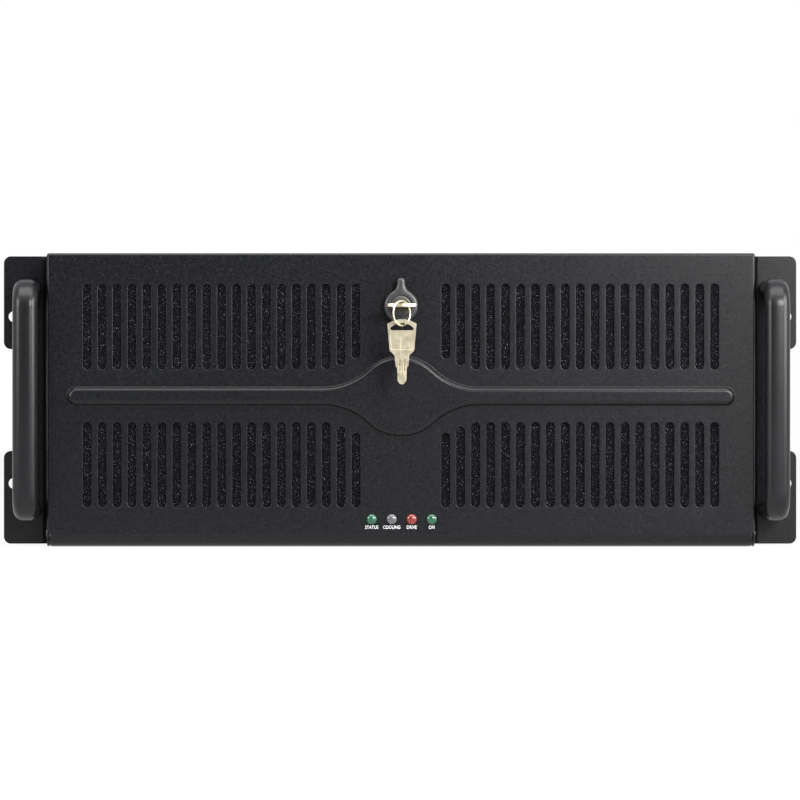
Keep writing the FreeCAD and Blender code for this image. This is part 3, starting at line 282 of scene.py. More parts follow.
def slotLoop(x, z, length, width, upright, steps):
    reach = (length - width) / 2
    radius = width / 2
    if upright:
        return arcPoints(x, z + reach, radius, 0, 180, steps) + arcPoints(x, z - reach, radius, 180, 360, steps)
    return arcPoints(x + reach, z, radius, -90, 90, steps) + arcPoints(x - reach, z, radius, 90, 270, steps)


def roundedLoop(corners, radii, steps):          # polygon with a round at each corner
    loop = []
    count = len(corners)
    for i, corner in enumerate(corners):
        here = Vector(corner)
        before = (Vector(corners[i - 1]) - here).normalized()
        after = (Vector(corners[(i + 1) % count]) - here).normalized()
        radius = radii[i]
        if radius == 0:
            loop.append(tuple(here))
            continue
        half = before.angle(after) / 2
        middle = here + (before + after).normalized() * (radius / math.sin(half))
        first = here + before * (radius / math.tan(half)) - middle
        last = here + after * (radius / math.tan(half)) - middle
        turn = first.angle_signed(last)
        for step in range(steps + 1):
            share = step / steps
            loop.append(tuple(middle + Matrix.Rotation(-turn * share, 2) @ first))
    return loop


def addLoop(bm, points, y):                      # closed ring of edges in a plane across the depth
    ring = [bm.verts.new((x, y, z)) for x, z in points]
    return [bm.edges.new((ring[i - 1], ring[i])) for i in range(len(ring))]


def fillLoops(bm, loops, y):                     # flat sheet with holes
    edges = [edge for points in loops for edge in addLoop(bm, points, y)]
    bmesh.ops.triangle_fill(bm, use_beauty=True, use_dissolve=False, edges=edges, normal=(0, -1, 0))


def addCap(bm, ring):                            # face on a ring of edges, looking along -Y
    cap = bmesh.ops.contextual_create(bm, geom=ring)["faces"]
    bm.normal_update()
    if cap[0].normal.y > 0:
        bmesh.ops.reverse_faces(bm, faces=cap)
    return cap


def stepIn(bm, cap, inwards, up):                # next ring of a raised or sunk face
    bmesh.ops.inset_region(bm, faces=cap, thickness=inwards, depth=up, use_even_offset=True, use_boundary=True)


def vertsOf(edges):
    return list({vert for edge in edges for vert in edge.verts})


def turnAbout(bm, axis, degrees):
    bmesh.ops.rotate(bm, cent=(0, 0, 0), matrix=Matrix.Rotation(math.radians(degrees), 3, axis), verts=bm.verts[:])


def drawOut(bm, edges, vector):                  # extrude edges and return the new ones
    made = bmesh.ops.extrude_edge_only(bm, edges=edges)["geom"]
    bmesh.ops.translate(bm, verts=[g for g in made if isinstance(g, bmesh.types.BMVert)], vec=vector)
    return [g for g in made if isinstance(g, bmesh.types.BMEdge)]


def turnOut(bm, edges, centre, axis, degrees, steps):
    made = bmesh.ops.spin(bm, geom=vertsOf(edges) + edges, cent=centre, axis=axis, dvec=(0, 0, 0),
                          angle=math.radians(degrees), steps=steps, use_merge=False, use_duplicate=False)
    return [g for g in made["geom_last"] if isinstance(g, bmesh.types.BMEdge)]


def edgesWhere(bm, test):
    return [edge for edge in bm.edges if all(test(vert.co) for vert in edge.verts)]


def bevelEdges(bm, edges, offset, segments):
    bmesh.ops.bevel(bm, geom=edges, offset=offset, offset_type="OFFSET", segments=segments, profile=0.5,
                    affect="EDGES", material=-1, clamp_overlap=True)


def lathe(bm, profile, middle, steps):           # profile of (radius, y) points turned about the Y axis
    ring = [bm.verts.new((middle[0] + r, y, middle[1])) for r, y in profile]
    edges = [bm.edges.new(pair) for pair in zip(ring, ring[1:])]
    bmesh.ops.spin(bm, geom=ring + edges, cent=(middle[0], 0, middle[1]), axis=(0, 1, 0), dvec=(0, 0, 0),
                   angle=math.tau, steps=steps, use_merge=True, use_duplicate=False)
    bmesh.ops.remove_doubles(bm, verts=bm.verts[:], dist=0.0005)


def outward(bm, openFront=False):                # an open sheet is turned so that its front looks along -Y
    bmesh.ops.recalc_face_normals(bm, faces=bm.faces[:])
    bm.normal_update()
    if openFront:
        front = [face for face in bm.faces if abs(face.normal.y) > 0.95]
        if sum(face.normal.y * face.calc_area() for face in front) > 0:
            bmesh.ops.reverse_faces(bm, faces=bm.faces[:])


def joinPart(bm, part):                          # a finished part becomes one of the piece's shells
    mesh = bpy.data.meshes.new("part")
    part.to_mesh(mesh)
    part.free()
    bm.from_mesh(mesh)
    bpy.data.meshes.remove(mesh)


def mirrorX(bm):
    bmesh.ops.scale(bm, vec=(-1, 1, 1), verts=bm.verts[:])
    bmesh.ops.reverse_faces(bm, faces=bm.faces[:])


sharpFrom = math.radians(35)


def addPiece(name, bm, body, finish, stands=(), wall=0.0, edge=0.0):
    bmesh.ops.scale(bm, vec=(0.001, 0.001, 0.001), verts=bm.verts[:])
    mesh = bpy.data.meshes.new(name)
    bm.to_mesh(mesh)
    bm.free()
    mesh.shade_smooth()
    mesh.set_sharp_from_angle(angle=sharpFrom)
    mesh.materials.append(finishes[finish])
    made = bpy.data.objects.new(name, mesh)
    bpy.context.scene.collection.objects.link(made)
    if wall:
        shell = made.modifiers.new("wall", "SOLIDIFY")
        shell.thickness = wall * 0.001
        shell.offset = -1
        shell.use_even_offset = True
    if edge:
        addEdge(made, edge)
    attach(made, body)
    if stands:
        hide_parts(*stands)
    return made


def addEdge(made, width, angle=50, segments=3):  # small worn edge that catches the light
    bevel = made.modifiers.new("edge", "BEVEL")
    bevel.width = width * 0.001
    bevel.segments = segments
    bevel.use_clamp_overlap = width < 0.4        # the door's many short edges would shrink its wide one
    bevel.limit_method = "ANGLE"
    bevel.angle_limit = math.radians(angle)
    even = made.modifiers.new("evenNormals", "WEIGHTED_NORMAL")
    even.keep_sharp = True


def dressNode(name, finish, edge=0.0):           # a CAD node keeps its shape and gets its finish here
    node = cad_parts[name]
    for holder in node.material_slots:
        holder.material = finishes[finish]
    if edge:
        weld = node.modifiers.new("weld", "WELD")
        weld.merge_threshold = 0.000002
        addEdge(node, edge, 40, 2)


# ---- door

door = {
    "side": 213.5, "top": 88.5, "bottom": -88.5, "face": -26.0, "back": -6.0, "bottomBack": -10.0,
    "sheet": 1.2, "fold": 1.6, "roll": 8.0, "slit": (211.3, 212.3), "slitTop": -80.0, "notch": 205.5,
    "slotCount": 19, "slotFirst": 27.0, "slotLast": 189.0, "slotWidth": 5.1,
    "upper": (18.3, 70.0), "lower": (-64.8, -13.4), "upperSteps": (6.6, 2.5), "lowerSteps": (6.5, 2.7),
    "lockZ": 56.4, "lockHole": 9.5, "lampX": (-17.575, -5.525, 6.525, 18.575), "lampZ": -71.8, "lampHole": 2.5,
}
emboss = {
    "z": 2.2, "barHalf": 5.5, "reach": 201.0, "lensHalf": 24.2, "lensReach": 47.0, "crown": 29.0, "flat": 0.4,
    "press": ((0.10, 0.26), (0.12, 0.54), (0.18, 0.58), (0.28, 0.54), (0.42, 0.46), (0.50, 0.30), (0.52, 0.18),
              (0.50, 0.09), (0.45, 0.05)),       # steps in and up of the pressed edge
}


def embossLoop(grow):
    z = emboss["z"]
    rise = emboss["lensHalf"] - emboss["barHalf"]
    turn = 2 * math.atan(rise / emboss["lensReach"])
    sway = emboss["lensReach"] / math.sin(turn) - emboss["crown"]
    degrees = math.degrees(turn)
    edge = emboss["barHalf"] + grow
    end = emboss["reach"] - emboss["barHalf"]
    quarter = arcPoints(0, emboss["lensHalf"] - emboss["crown"], emboss["crown"] + grow, 90, 90 - degrees, 14)
    quarter += arcPoints(emboss["lensReach"], emboss["barHalf"] + sway, sway - grow, 270 - degrees, 270, 12)[1:]
    quarter += arcPoints(end, 0, edge, 90, 0, 8)
    below = [(x, -up) for x, up in reversed(quarter[:-1])]
    right = quarter + below
    left = [(-x, up) for x, up in reversed(right[1:-1])]
    return [(x, z + up) for x, up in right + left]


def makeDoor():
    d = door
    side, top, low = d["side"] - d["fold"], d["top"] - d["fold"], d["bottom"] + d["roll"]
    inner = d["slit"][0]
    outer = [(-d["notch"], low), (-inner, low), (-inner, d["slitTop"]), (-side, d["slitTop"]), (-side, top),
             (side, top), (side, d["slitTop"]), (inner, d["slitTop"]), (inner, low), (d["notch"], low)]
    pitch = (d["slotLast"] - d["slotFirst"]) / (d["slotCount"] - 1)
    loops = [outer, embossLoop(emboss["flat"])]
    for number in range(d["slotCount"]):
        ends = [list(d["upper"]), list(d["lower"])]
        if number < len(d["upperSteps"]):
            ends[0][0] += d["upperSteps"][number]
            ends[1][1] -= d["lowerSteps"][number]
        for start, end in ends:
            for hand in (-1, 1):
                x = hand * (d["slotFirst"] + number * pitch)
                loops.append(slotLoop(x, (start + end) / 2, end - start, d["slotWidth"], True, 8))
    loops.append(circleLoop(0, d["lockZ"], d["lockHole"], 32))
    loops += [circleLoop(x, d["lampZ"], d["lampHole"], 16) for x in d["lampX"]]
    bm = bmesh.new()
    fillLoops(bm, loops, d["face"])

    cap = addCap(bm, addLoop(bm, embossLoop(emboss["flat"]), d["face"]))
    for inwards, up in ((emboss["flat"], 0), *emboss["press"]):
        stepIn(bm, cap, inwards, up)
    bmesh.ops.remove_doubles(bm, verts=bm.verts[:], dist=0.002)

    near = 0.01
    face = d["face"]

    def onEdge(test):
        return [e for e in edgesWhere(bm, lambda co: abs(co.y - face) < near and test(co)) if e.is_boundary]

    rolled = turnOut(bm, onEdge(lambda co: co.z < low + near), (0, face + d["roll"], low), (1, 0, 0), 90, 10)
    flange = [e for e in rolled if all(abs(v.co.x) < d["notch"] + near for v in e.verts)]
    drawOut(bm, flange, (0, d["bottomBack"] - face - d["roll"], 0))
    back = (0, d["back"] - face - d["fold"], 0)
    depth = face + d["fold"]
    drop = math.sqrt(d["roll"] ** 2 - (d["roll"] - d["fold"]) ** 2)
    over = turnOut(bm, onEdge(lambda co: co.z > top - near), (0, depth, top), (1, 0, 0), -90, 5)
    for hand in (-1, 1):
        ends = [e for e in edgesWhere(bm, lambda co: abs(co.x - hand * side) < near and co.z > top - near
                                      and co.y < depth + near) if e.is_boundary]
        edges = onEdge(lambda co: co.x * hand > side - near and co.z > d["slitTop"] - near and co.z < top + near)
        cheek = turnOut(bm, edges, (hand * side, depth, 0), (0, 0, 1), hand * 90, 5)
        corner = turnOut(bm, ends, (hand * side, depth, 0), (0, 0, 1), hand * 90, 5)
        drawOut(bm, corner, back)
        drawOut(bm, cheek, back)
        foot = d["side"] * hand
        start = [e for e in edgesWhere(bm, lambda co: abs(co.x - foot) < near and co.z < d["slitTop"] + near)
                 if e.is_boundary]
        drawOut(bm, start, (0, 0, low - drop - d["slitTop"]))
        rollStart = 180 + math.degrees(math.asin(drop / d["roll"]))
        tail = arcPoints(face + d["roll"], low, d["roll"], rollStart, 270, 6)
        tail += [(d["back"], d["bottom"]), (d["back"], low - drop)]
        bm.faces.new([bm.verts.new((foot, y, z)) for y, z in tail])
    drawOut(bm, over, back)
    bmesh.ops.remove_doubles(bm, verts=bm.verts[:], dist=0.002)
    outward(bm, True)
    addPiece("doorPanel", bm, "door", "texturedCoat", ["door_panel"], d["sheet"], 0.42)


makeDoor()
print("door panel")


# ---- foam mats behind the slots

foam = {"gap": 0.1, "round": 1.2, "cuts": 70, "ripple": 0.05, "waves": (1.7, 1.3, 0.41, 0.77)}


def makeFoam(hand, node):
    f = foam
    low, high = (v * 1000 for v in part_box(node))
    size = high - low
    gap = f["gap"]
    bm = bmesh.new()
    bmesh.ops.create_cube(bm, size=1.0)
    bmesh.ops.scale(bm, vec=(size.x - 2 * gap, size.y - 2 * gap, size.z - 2 * gap), verts=bm.verts[:])
    bmesh.ops.translate(bm, verts=bm.verts[:], vec=(low + high) / 2)
    bevelEdges(bm, bm.edges[:], f["round"], 3)
    sides = [e for e in bm.edges if e.calc_length() > 20]
    bmesh.ops.subdivide_edges(bm, edges=sides, cuts=f["cuts"], use_grid_fill=True)
    pads = [v for v in bm.verts if min(abs(v.co.y - low.y - gap), abs(v.co.y - high.y + gap)) < 2 * gap]
    first, second, third, fourth = f["waves"]
    for vert in pads:                            # shallow ripples of a pad that was cut by hand
        x, z = vert.co.x, vert.co.z
        ripple = math.sin(x * first) * math.cos(z * second) + math.sin(x * third + z * fourth)
        sunk = f["ripple"] * (1 + ripple)
        vert.co.y += sunk if vert.co.y < (low.y + high.y) / 2 else -sunk
    made = addPiece("filterMat" + ("Left" if hand < 0 else "Right"), bm, "door", "filterFoam", [node])


makeFoam(-1, "filter_foam_left")
makeFoam(1, "filter_foam_right")
print("foam mats")


# ---- rack ears

ear = {"inner": 215.0, "outer": 241.3, "half": 87.5, "front": -2.0, "sheet": 2.0, "bend": 3.2, "leafEnd": 60.0,
       "recess": 14.0, "recessHalf": 31.0, "corner": 4.3, "slotX": 232.55, "slotZ": 50.8, "slot": (12.0, 6.6)}


def makeEar(hand, name, node):
    e = ear
    start = e["inner"] + e["bend"]
    notch = e["outer"] - e["recess"]
    corners = [(start, -e["half"]), (e["outer"], -e["half"]), (e["outer"], -e["recessHalf"]),
               (notch, -e["recessHalf"]), (notch, e["recessHalf"]), (e["outer"], e["recessHalf"]),
               (e["outer"], e["half"]), (start, e["half"])]
    r = e["corner"]
    loops = [roundedLoop(corners, (0, r, r, r, r, r, r, 0), 8)]
    loops += [slotLoop(e["slotX"], z, *e["slot"], False, 12) for z in (-e["slotZ"], e["slotZ"])]
    bm = bmesh.new()
    fillLoops(bm, loops, e["front"])
    inside = edgesWhere(bm, lambda co: co.x < start + 0.01)
    bend = turnOut(bm, inside, (start, e["front"] + e["bend"], 0), (0, 0, 1), -90, 6)
    drawOut(bm, bend, (0, e["leafEnd"] - e["front"] - e["bend"], 0))
    bmesh.ops.remove_doubles(bm, verts=bm.verts[:], dist=0.001)
    outward(bm, True)
    if hand < 0:
        mirrorX(bm)
    addPiece(name, bm, "body", "texturedCoat", [node], e["sheet"], 0.3)


makeEar(1, "rackEarRight", "rack_ear_right")
makeEar(-1, "rackEarLeft", "rack_ear_left")
print("rack ears")


# ---- handles

handle = {"x": 225.6, "legZ": 67.05, "foot": -2.0, "grip": -36.3, "bend": 11.0, "thick": 11.4, "wide": 15.2}


def makeHandle(hand, name, node):
    h = handle
    bm = bmesh.new()
    bmesh.ops.create_circle(bm, cap_ends=False, segments=40, radius=h["thick"] / 2)
    spread = (h["wide"] - h["thick"]) / 2
    for vert in bm.verts:
        if abs(vert.co.x) > 0.01:
            vert.co.x += math.copysign(spread, vert.co.x)
    turnAbout(bm, "X", 90)
    bmesh.ops.translate(bm, verts=bm.verts[:], vec=(h["x"], h["foot"], h["legZ"]))
    ends = bm.edges[:]
    turnY, turnZ = h["grip"] + h["bend"], h["legZ"] - h["bend"]
    edges = drawOut(bm, ends, (0, turnY - h["foot"], 0))
    edges = turnOut(bm, edges, (0, turnY, turnZ), (1, 0, 0), 90, 12)
    edges = drawOut(bm, edges, (0, 0, -2 * turnZ))
    edges = turnOut(bm, edges, (0, turnY, -turnZ), (1, 0, 0), 90, 12)
    last = drawOut(bm, edges, (0, h["foot"] - turnY, 0))
    bmesh.ops.edgeloop_fill(bm, edges=ends)
    bmesh.ops.edgeloop_fill(bm, edges=last)
    outward(bm)
    if hand < 0:
        mirrorX(bm)
    addPiece(name, bm, "body", "satinCoat", [node])


makeHandle(1, "handleRight", "handle_right")
makeHandle(-1, "handleLeft", "handle_left")
print("handles")


# ---- lock, keys and ring

lock = {
    "z": 56.4, "front": -34.0, "back": -27.3, "radius": 10.2, "edge": 1.8,
    "tabReach": 17.0, "tabHalf": 2.4, "tabRound": 1.9, "fillet": 6.0,
    "ring": 6.95, "ringDepth": 0.8, "bore": 6.2, "boreDepth": 3.0,
    "spindle": 7.4, "spindleBack": -12.1, "chamfer": 0.4, "seat": (0.6, 0.2, 0.3),   # where it ends inside the knob
    "plug": 6.12, "plugFront": -34.4, "plugBack": -16.2, "plugEdge": 0.6, "keyway": (8.5, 2.2), "keywayRound": 0.4,
}


def makeKnob():
    k = lock
    rise = math.sqrt((k["radius"] + k["fillet"]) ** 2 - (k["tabHalf"] + k["fillet"]) ** 2)
    meet = math.degrees(math.atan2(rise, k["tabHalf"] + k["fillet"]))
    tip = k["tabReach"]
    half = arcPoints(0, 0, k["radius"], -90, meet, 26)
    half += arcPoints(k["tabHalf"] + k["fillet"], rise, k["fillet"], 180 + meet, 180, 8)[1:]
    half += arcPoints(k["tabHalf"] - k["tabRound"], tip - k["tabRound"], k["tabRound"], 0, 90, 4)
    left = [(-x, z) for x, z in reversed(half[1:])]
    outline = [(x, z + k["z"]) for x, z in half + left]
    bm = bmesh.new()
    rim = addLoop(bm, outline, k["front"] + k["edge"])
    cap = addCap(bm, rim)
    turns = [math.radians(15 * i) for i in range(7)]
    for start, end in zip(turns, turns[1:]):     # rounded front edge, a quarter circle in six steps
        stepIn(bm, cap, k["edge"] * (math.cos(start) - math.cos(end)), k["edge"] * (math.sin(end) - math.sin(start)))
    inner = cap[0].edges[:]
    bmesh.ops.delete(bm, geom=cap, context="FACES_ONLY")
    well = addLoop(bm, circleLoop(0, k["z"], k["ring"], 48), k["front"])
    bmesh.ops.triangle_fill(bm, use_beauty=True, use_dissolve=False, edges=inner + well, normal=(0, -1, 0))
    drawOut(bm, rim, (0, k["back"] - k["front"] - k["edge"], 0))
    floor = drawOut(bm, well, (0, k["ringDepth"], 0))
    inner = drawOut(bm, floor, (0, 0, 0))
    share = k["bore"] / k["ring"]
    bmesh.ops.scale(bm, vec=(share, 1, share), verts=vertsOf(inner), space=Matrix.Translation((0, 0, -k["z"])))
    drawOut(bm, inner, (0, k["boreDepth"], 0))
    inwards, rimSeat, spindleSeat = k["seat"]
    lathe(bm, [(0, k["spindleBack"]), (k["spindle"] - k["chamfer"], k["spindleBack"]),
               (k["spindle"], k["spindleBack"] - k["chamfer"]), (k["spindle"], k["back"] - spindleSeat),
               (k["radius"] - inwards, k["back"] - rimSeat)], (0, k["z"]), 40)
    bmesh.ops.remove_doubles(bm, verts=bm.verts[:], dist=0.001)
    outward(bm)
    addPiece("latchKnob", bm, "knob", "glossBlack", ["latch_knob"])


def makePlug():
    k = lock
    wide, high = k["keyway"]
    corners = [(-wide / 2, -high / 2), (wide / 2, -high / 2), (wide / 2, high / 2), (-wide / 2, high / 2)]
    way = [(x, z + k["z"]) for x, z in roundedLoop(corners, (k["keywayRound"],) * 4, 3)]
    outline = circleLoop(0, k["z"], k["plug"], 48)
    bm = bmesh.new()
    fillLoops(bm, [outline, way], k["plugFront"])
    rim = [e for e in bm.edges if e.is_boundary]
    drawOut(bm, rim, (0, k["plugBack"] - k["plugFront"], 0))
    bevelEdges(bm, rim, k["plugEdge"], 3)
    outward(bm)
    addPiece("lockPlug", bm, "plug", "plugSteel", ["lock_plug"])


coil = {"outer": 7.9, "deep": 1.2, "half": 0.60, "gap": 0.03, "turns": 2, "steps": 56, "endsAt": 70, "turned": 45}


def makeRing():
    low, high = (v * 1000 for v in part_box("key_ring"))
    middle = (low + high) / 2
    c = coil
    bm = bmesh.new()
    bmesh.ops.create_circle(bm, cap_ends=True, segments=12, radius=0.5)
    bmesh.ops.scale(bm, vec=(c["deep"], c["half"] - c["gap"], 1), verts=bm.verts[:])
    bmesh.ops.translate(bm, verts=bm.verts[:], vec=(c["outer"] - c["deep"] / 2, -c["half"] / 2, 0))
    steps = c["turns"] * c["steps"]
    bmesh.ops.spin(bm, geom=bm.faces[:], cent=(0, 0, 0), axis=(0, 1, 0), dvec=(0, c["half"] / steps, 0),
                   angle=math.tau * c["turns"], steps=steps, use_merge=False, use_duplicate=False)
    turnAbout(bm, "Y", c["endsAt"])
    turnAbout(bm, "Z", c["turned"])
    bmesh.ops.translate(bm, verts=bm.verts[:], vec=middle)
    outward(bm)
    addPiece("splitRing", bm, "ring", "nickelPlate", ["key_ring"])


spare = {
    "front": -56.85, "middle": -55.9, "top": 47.9, "half": 8.6, "rise": 2.6, "drop": 0.8, "taper": (7.35, 29.4),
    "neck": (4.3, 26.4), "neckEnd": 25.0, "blade": (3.8, 20.2), "step": (2.9, 19.0), "end": (2.6, 11.6),
    "tip": 9.3, "tipRound": 2.2,
    "hole": (6.8, 45.7, 42.9, 41.35),            # reach, crown, top of its short sides, base
    "band": 39.0, "rim": 1.15, "panelInset": (0.35, 0.4), "panelRound": 0.7, "sunk": 0.15,
    "groove": (1.5, 0.55, 24.6, 16.4), "cut": 0.80, "slope": 0.13,
}


def makeSpareKey():
    k = spare
    shoulder = k["top"] - k["rise"]
    radius = (k["half"] ** 2 + k["rise"] ** 2) / (2 * k["rise"])
    swing = math.degrees(math.asin(k["half"] / radius))
    right = arcPoints(0, k["top"] - radius, radius, 90, 90 - swing, 8)
    right += [(k["half"], shoulder - k["drop"]), k["taper"], k["neck"], (k["neck"][0], k["neckEnd"]), k["blade"],
              k["step"], k["end"]]
    right += arcPoints(0, k["tip"] + k["tipRound"], k["tipRound"], -25, -90, 6)
    outline = right + [(-x, z) for x, z in reversed(right[1:-1])]
    reach, crown, side, base = k["hole"]
    holeRadius = (reach ** 2 + (crown - side) ** 2) / (2 * (crown - side))
    holeSwing = math.degrees(math.asin(reach / holeRadius))
    hole = arcPoints(0, crown - holeRadius, holeRadius, 90 - holeSwing, 90 + holeSwing, 16)
    hole += [(-reach, base), (reach, base)]
    inwards, upwards = k["panelInset"]
    bottom, top = k["taper"][0] - k["rim"], k["half"] - k["rim"] - inwards
    low = k["taper"][1] + upwards
    panel = roundedLoop([(-bottom, low), (bottom, low), (top, k["band"]), (-top, k["band"])], (k["panelRound"],) * 4, 4)
    x, half, high, foot = k["groove"]
    grooves = [slotLoop(hand * x, (high + foot) / 2, high - foot, 2 * half, True, 4) for hand in (-1, 1)]
    bm = bmesh.new()
    fillLoops(bm, [outline, hole, panel] + grooves, k["front"])
    for loop, depth in [(panel, k["sunk"])] + [(groove, k["cut"]) for groove in grooves]:
        stepIn(bm, addCap(bm, addLoop(bm, loop, k["front"])), k["slope"], -depth)
    bmesh.ops.remove_doubles(bm, verts=bm.verts[:], dist=0.002)
    rims = [e for e in bm.edges if e.is_boundary]
    drawOut(bm, rims, (0, k["middle"] - k["front"], 0))
    bmesh.ops.mirror(bm, geom=bm.verts[:] + bm.edges[:] + bm.faces[:], axis="Y", merge_dist=0.002,
                     matrix=Matrix.Translation((0, -k["middle"], 0)))
    bmesh.ops.remove_doubles(bm, verts=bm.verts[:], dist=0.002)
    outward(bm)
    addPiece("spareKey", bm, "hanging_key", "nickelPlate", ["spare_key"], 0.0, 0.16)


makeKnob()
makePlug()
makeRing()
makeSpareKey()
dressNode("door_key", "nickelPlate", 0.16)
dressNode("lock_housing", "plainSteel", 0.1)
print("lock and keys")


# ---- lamps and their words

lamps = {"z": -71.8, "face": -26.0, "radius": 3.1, "rim": 0.7, "barrel": 2.4, "barrelEnd": -18.0,
         "domeFront": -28.35}
words = {"z": -77.6, "size": 2.9, "squeeze": 0.79, "thick": 0.012, "bold": 0.035}
lampList = (("status_lamp", "greenLamp", "green_lens", "STATUS"),
            ("cooling_lamp", "clearLamp", "clear_lens", "COOLING"),
            ("drive_lamp", "redLamp", "red_lens", "DRIVE"), ("power_lamp", "greenLamp", "green_lens", "ON"))


def makeLamp(x, node, finish):
    p = lamps
    step = p["face"] - p["rim"]
    dome = arcPoints(0, 0, 1, 0, 90, 7)
    profile = [(0, p["barrelEnd"]), (p["barrel"], p["barrelEnd"]), (p["barrel"], p["face"]), (p["radius"], p["face"])]
    profile += [(c * p["radius"], step + s * (p["domeFront"] - step)) for c, s in dome]
    bm = bmesh.new()
    lathe(bm, profile, (x, p["z"]), 32)
    outward(bm)
    addPiece(node.split("_")[0] + "Lamp", bm, "door", finish, [node])


def makeWord(text, x):
    w = words
    font = bpy.data.curves.new(text, "FONT")
    font.body = text
    font.size = w["size"]
    font.align_x = "CENTER"
    font.extrude = w["thick"]
    font.offset = w["bold"]
    font.resolution_u = 3
    holder = bpy.data.objects.new(text, font)
    mesh = bpy.data.meshes.new_from_object(holder)
    bpy.data.objects.remove(holder)
    bm = bmesh.new()
    bm.from_mesh(mesh)
    bpy.data.meshes.remove(mesh)
    bmesh.ops.scale(bm, vec=(w["squeeze"], 1, 1), verts=bm.verts[:])
    turnAbout(bm, "X", 90)
    bmesh.ops.translate(bm, verts=bm.verts[:], vec=(x, lamps["face"] - w["thick"], w["z"]))
    addPiece("word" + text.title(), bm, "door", "printedWhite")


for x, (node, finish, slot, text) in zip(door["lampX"], lampList):
    makeLamp(x, node, finish)
    makeWord(text, x)
print("lamps and words")


# ---- thumbscrews of the top cover

thumb = {"x": 190.0, "z": 81.5, "head": (449.2, 457.2), "radius": 5.5, "teeth": 30, "toothShare": 0.94,
         "chamfer": 0.8, "capShare": 0.86, "shank": 1.9, "shankFront": 443.2, "slot": 0.6, "slotDepth": 1.4}


def makeThumbscrews():
    t = thumb
    bm = bmesh.new()
    for hand in (-1, 1):
        part = bmesh.new()
        bmesh.ops.create_circle(part, cap_ends=False, segments=t["teeth"] * 2, radius=t["radius"])
        ordered = sorted(part.verts, key=lambda v: math.atan2(v.co.y, v.co.x))
        for vert in ordered[::2]:
            vert.co *= t["toothShare"]
        turnAbout(part, "X", 90)
        bmesh.ops.translate(part, verts=part.verts[:], vec=(0, t["head"][0], 0))
        rim = drawOut(part, part.edges[:], (0, t["head"][1] - t["head"][0] - t["chamfer"], 0))
        rim = drawOut(part, rim, (0, t["chamfer"], 0))
        bmesh.ops.scale(part, vec=(t["capShare"], 1, t["capShare"]), verts=vertsOf(rim))
        bmesh.ops.holes_fill(part, edges=part.edges[:], sides=0)
        for place in (-t["slot"], t["slot"]):
            bmesh.ops.bisect_plane(part, geom=part.verts[:] + part.edges[:] + part.faces[:], plane_co=(0, 0, place),
                                   plane_no=(0, 0, 1))
        groove = [f for f in part.faces if abs(f.calc_center_median().z) < t["slot"] * 0.9
                  and f.calc_center_median().y > t["head"][1] - 0.01]
        if groove:
            sunk = bmesh.ops.extrude_face_region(part, geom=groove)["geom"]
            bmesh.ops.translate(part, verts=[g for g in sunk if isinstance(g, bmesh.types.BMVert)],
                                vec=(0, -t["slotDepth"], 0))
            bmesh.ops.delete(part, geom=groove, context="FACES")
        outward(part)
        lathe(part, [(0, t["shankFront"]), (t["shank"], t["shankFront"]), (t["shank"], t["head"][0] + 0.1),
                     (0, t["head"][0] + 0.1)], (0, 0), 16)
        bmesh.ops.translate(part, verts=part.verts[:], vec=(hand * t["x"], 0, t["z"]))
        joinPart(bm, part)
    addPiece("thumbscrewHeads", bm, "cover", "plainSteel", ["thumbscrews"])


makeThumbscrews()
print("thumbscrews")


# ---- small screws and rivets

fixings = {
    "panRadius": 2.8, "panHeight": 1.7, "panFlat": 0.62, "panDome": ((1.36, 0.22), (1.17, 0.42), (1.012, 0.42)),
    "cross": (2.6, 0.62), "crossDeep": 0.8, "turn": 37, "rivetRadius": 2.1, "rivetHeight": 0.9,
    "rearFace": 448.0, "fans": ((-9.0, 26.0), (74.0, 26.0)), "fanHalf": 35.75,
    "frontFace": -2.0, "frontFan": (-130.0, 0.0), "frontFanHalf": 52.5,
    "leafFace": 217.0, "leafY": (32.0, 50.0), "leafZ": (-72.0, -24.0, 24.0, 72.0),
    "sideFace": 215.0, "rivetY": 442.0, "rivetZ": (-66.0, -22.0, 22.0, 62.0),
    "cardX": -63.0, "cardPitch": -20.32, "cardTop": 30.0, "cardY": 440.8, "cardCount": 7,
}


def panHead(part):                               # screw head that stands on the floor plane, with a cross sunk in
    p = fixings
    r, h = p["panRadius"], p["panHeight"]
    arm, half = p["cross"]
    cross = [(half, half), (arm / 2, half), (arm / 2, -half), (half, -half), (half, -arm / 2), (-half, -arm / 2),
             (-half, -half), (-arm / 2, -half), (-arm / 2, half), (-half, half), (-half, arm / 2), (half, arm / 2)]
    flat = r * p["panFlat"]
    fillLoops(part, [circleLoop(0, 0, flat, 24), cross], -h)
    edges = [e for e in part.edges if e.is_boundary]
    outer = [e for e in edges if min(math.hypot(v.co.x, v.co.z) for v in e.verts) > 0.97 * flat]
    well = drawOut(part, [e for e in edges if e not in outer], (0, p["crossDeep"], 0))
    bmesh.ops.holes_fill(part, edges=well, sides=0)
    for share, drop in p["panDome"]:
        outer = drawOut(part, outer, (0, drop, 0))
        bmesh.ops.scale(part, vec=(share, 1, share), verts=vertsOf(outer))
    drawOut(part, outer, (0, h - sum(drop for share, drop in p["panDome"]), 0))


def rivetHead(part):
    p = fixings
    dome = arcPoints(0, 0, 1, 0, 90, 5)
    lathe(part, [(c * p["rivetRadius"], -s * p["rivetHeight"]) for c, s in dome], (0, 0), 20)


